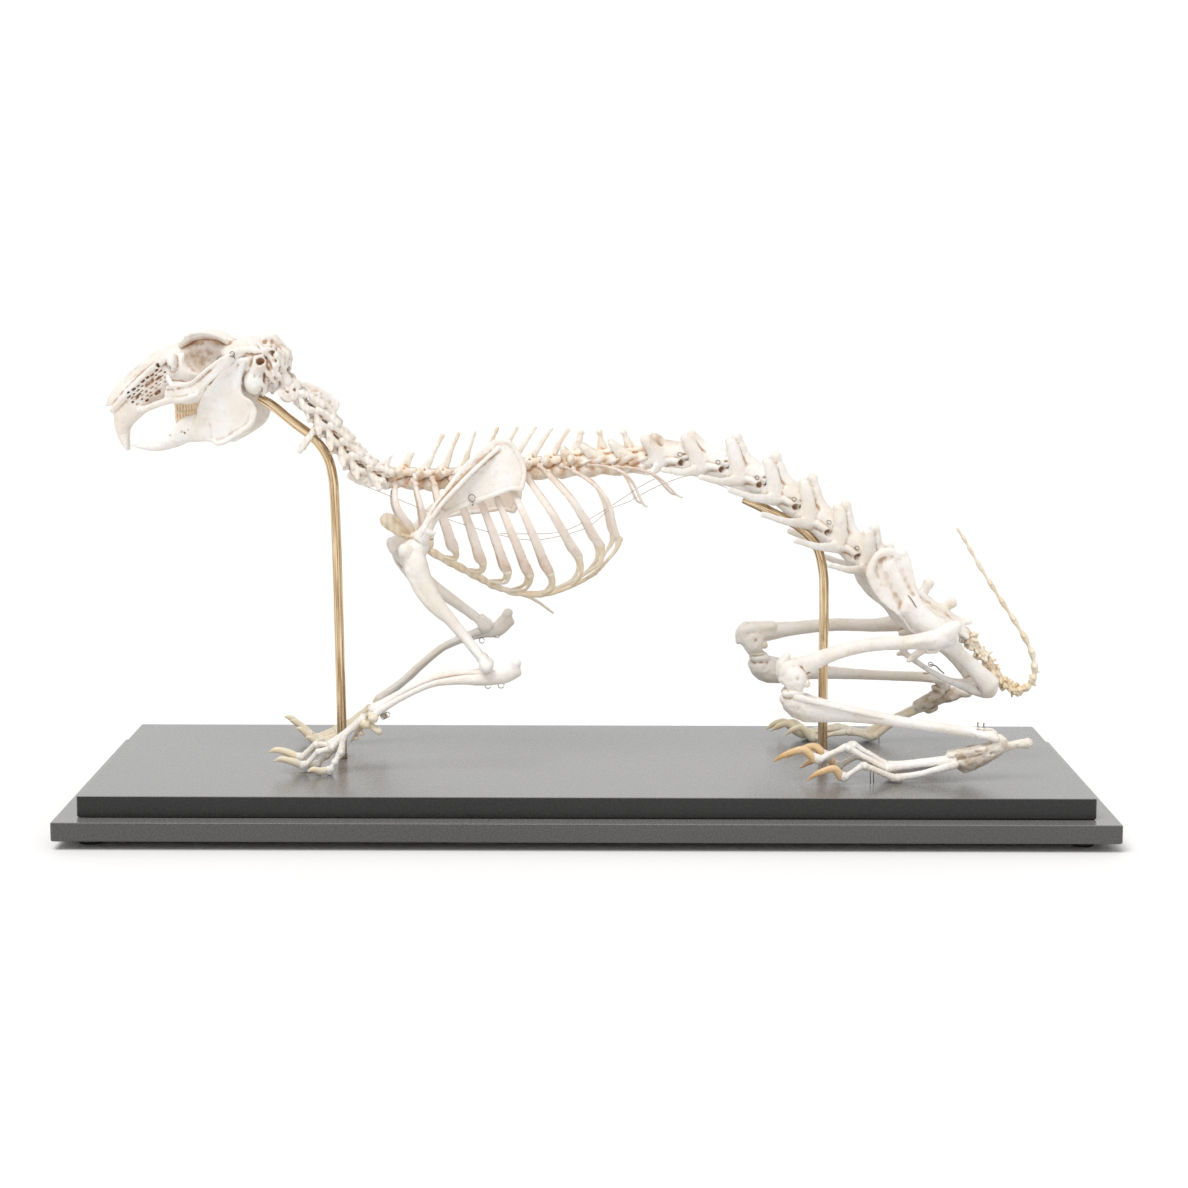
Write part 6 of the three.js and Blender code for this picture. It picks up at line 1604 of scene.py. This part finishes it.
# Wires
def add_wires():
    """Two strands from the neck through the chest to the loins, and loops, staples and pins at the joints."""
    first = [(-116.3, 162.4), (-105.9, 158.4), (-93.5, 153.4), (-68.7, 143.5), (-56.2, 139.5), (-43.8, 136),
             (-28.8, 133.5), (-13.8, 135.6), (1.1, 140.7), (11.1, 149.2), (20, 152.7), (30.9, 158.8),
             (39.9, 162.8), (50.8, 166), (55.8, 165), (65.7, 161.2), (78.2, 156.4)]
    second = [(-43.8, 136.6), (-33.8, 136.5), (-23.8, 136.6), (-16.3, 137.1), (-8.9, 139.1), (1.1, 144.2),
              (11.1, 150.2), (18.5, 155.2), (25.9, 160.3), (33.4, 164.3)]
    put("long_wire_1", tube([(x, 5, z) for x, z in first], 0.16, 6, 3), FINE_WIRE)
    put("long_wire_2", tube([(x, 6.2, z) for x, z in second], 0.16, 6, 3), FINE_WIRE)
    loops = [((-56.3, -24.2, 157.5), 1.7, (0.3, 1, 0)), ((-56.1, -24, 154.8), 0.9, (1, 0.4, 0)),
             ((-76.4, -24, 138.4), 1.4, (0.2, 1, 0.3)), ((-80.8, -23, 129.6), 1.4, (1, 0.5, 0)),
             ((-48.5, -32, 66.4), 1.5, (0, 1, 0.1)), ((-42.1, -32, 66.6), 1.5, (0.1, 1, 0)),
             ((-99.9, -30, 50.4), 1.3, (0, 1, 0)), ((-97.9, -30, 51.4), 1.3, (0.4, 1, 0)),
             ((-46.4, 32, 81.4), 1.6, (0, 1, 0)), ((-54.1, 32, 78.4), 1.4, (0.4, 1, 0)),
             ((189, -47, 50.4), 1.2, (1, 0, 0)), ((191.9, -47, 50), 1.2, (1, 0, 0)),
             ((183.5, -25.5, 88.4), 1.3, (0.3, 1, 0)), ((185.5, -25, 87), 1.2, (1, 0.4, 0)),
             ((170.6, -9, 73.6), 1.2, (0.2, 1, 0.4)), ((-96, -4.6, 158.2), 1.2, (0.3, 1, 0)),
             ((181, -3, 89), 1.6, (0.2, 1, 0))]
    loops += [((x, -7, z), 1.1, (0.4, 1, 0.5)) for x, z in ((45.3, 177.6), (64.1, 173.8), (83.4, 166.2),
                                                            (101.8, 155.6), (119.2, 144.2), (133.3, 131.4))]
    put("wire_loops", joined([ring(*loop) for loop in loops]), WIRE)
    staples = [tube([(157.4, -19.6, 109.6), (158.6, -20.4, 108.4), (161, -20.6, 104.6),
                     (162, -19.8, 102.8)], 0.25, 6, 3),
               tube([(170, -9.6, 73.6), (173, -10.4, 73), (175, -9.8, 71), (177.4, -9, 69)], 0.35, 6, 3)]
    put("staples", joined(staples), WIRE)
    pins = []
    for x, y in ((136.4, -57), (138, -56.6), (152, 47)):
        pins.append(tube([(x, y, GROUND + 0.1), (x, y, 31.2), (x + 0.5, y, 31.8)], 0.22, 6, 2))
    put("foot_pins", joined(pins), WIRE)


# Floor and light. A lamp is a name, the direction it shines, its strength and its angle in degrees.
FLOOR_HALF = 12.0
WHITE_WALL = 1.06
DIM_SIDE = 0.46
LAMPS = (("key", (0.45, 0.7, -1.6), 1.95, 36), ("fill", (-0.6, 1.0, -0.35), 0.45, 60))


def add_floor():
    """A pale floor just under the feet."""
    data = bpy.data.meshes.new("floor")
    data.from_pydata([(-FLOOR_HALF, -FLOOR_HALF, 0), (FLOOR_HALF, -FLOOR_HALF, 0),
                      (FLOOR_HALF, FLOOR_HALF, 0), (-FLOOR_HALF, FLOOR_HALF, 0)], [], [(0, 1, 2, 3)])
    floor = bpy.data.objects.new("floor", data)
    bpy.context.scene.collection.objects.link(floor)
    floor.location.z = -0.0002
    s = Shader("pale floor")
    data.materials.append(s.finish(Colour=s.mix(s.noise(3, 2), (0.94, 0.94, 0.94), (0.97, 0.97, 0.97)),
                                   Roughness=0.7, Specular_IOR_Level=0.2))


def add_world():
    """A white wall far behind, and dimmer, warmer soft light from everywhere else."""
    world = bpy.data.worlds.new("studio")
    world.use_nodes = True
    tree = world.node_tree
    place = tree.nodes.new("ShaderNodeTexCoord")
    split = tree.nodes.new("ShaderNodeSeparateXYZ")
    wall = tree.nodes.new("ShaderNodeMapRange")
    wall.interpolation_type = "SMOOTHSTEP"
    for key, value in (("From Min", 0.35), ("From Max", 0.85), ("To Min", DIM_SIDE), ("To Max", WHITE_WALL)):
        wall.inputs[key].default_value = value
    tree.links.new(place.outputs["Generated"], split.inputs[0])
    tree.links.new(split.outputs["Y"], wall.inputs["Value"])
    tree.links.new(wall.outputs[0], tree.nodes["Background"].inputs["Strength"])
    tint = tree.nodes.new("ShaderNodeMixRGB")
    tint.inputs["Color1"].default_value = (1, 0.95, 0.9, 1)
    tint.inputs["Color2"].default_value = (1, 1, 1, 1)
    tree.links.new(wall.outputs[0], tint.inputs["Fac"])
    tree.links.new(tint.outputs[0], tree.nodes["Background"].inputs["Color"])
    bpy.context.scene.world = world


def add_lamps():
    """A soft key light from the upper left of the camera, and a weaker fill."""
    for name, aim, power, soft in LAMPS:
        lamp = bpy.data.lights.new(name, "SUN")
        lamp.energy = power
        lamp.angle = math.radians(soft)
        light = bpy.data.objects.new(name, lamp)
        bpy.context.scene.collection.objects.link(light)
        light.rotation_euler = Vector(aim).to_track_quat("-Z", "Y").to_euler()
    bpy.context.scene.view_settings.view_transform = "Standard"


add_camera()
add_floor()
add_world()
add_lamps()
add_stand()
add_head()
add_spine()
add_sacrum()
add_tail()
add_chest()
for side_name, side_sign in SIDES:
    add_front_leg(side_name, side_sign)
    add_hind_leg(side_name, side_sign)
add_wires()
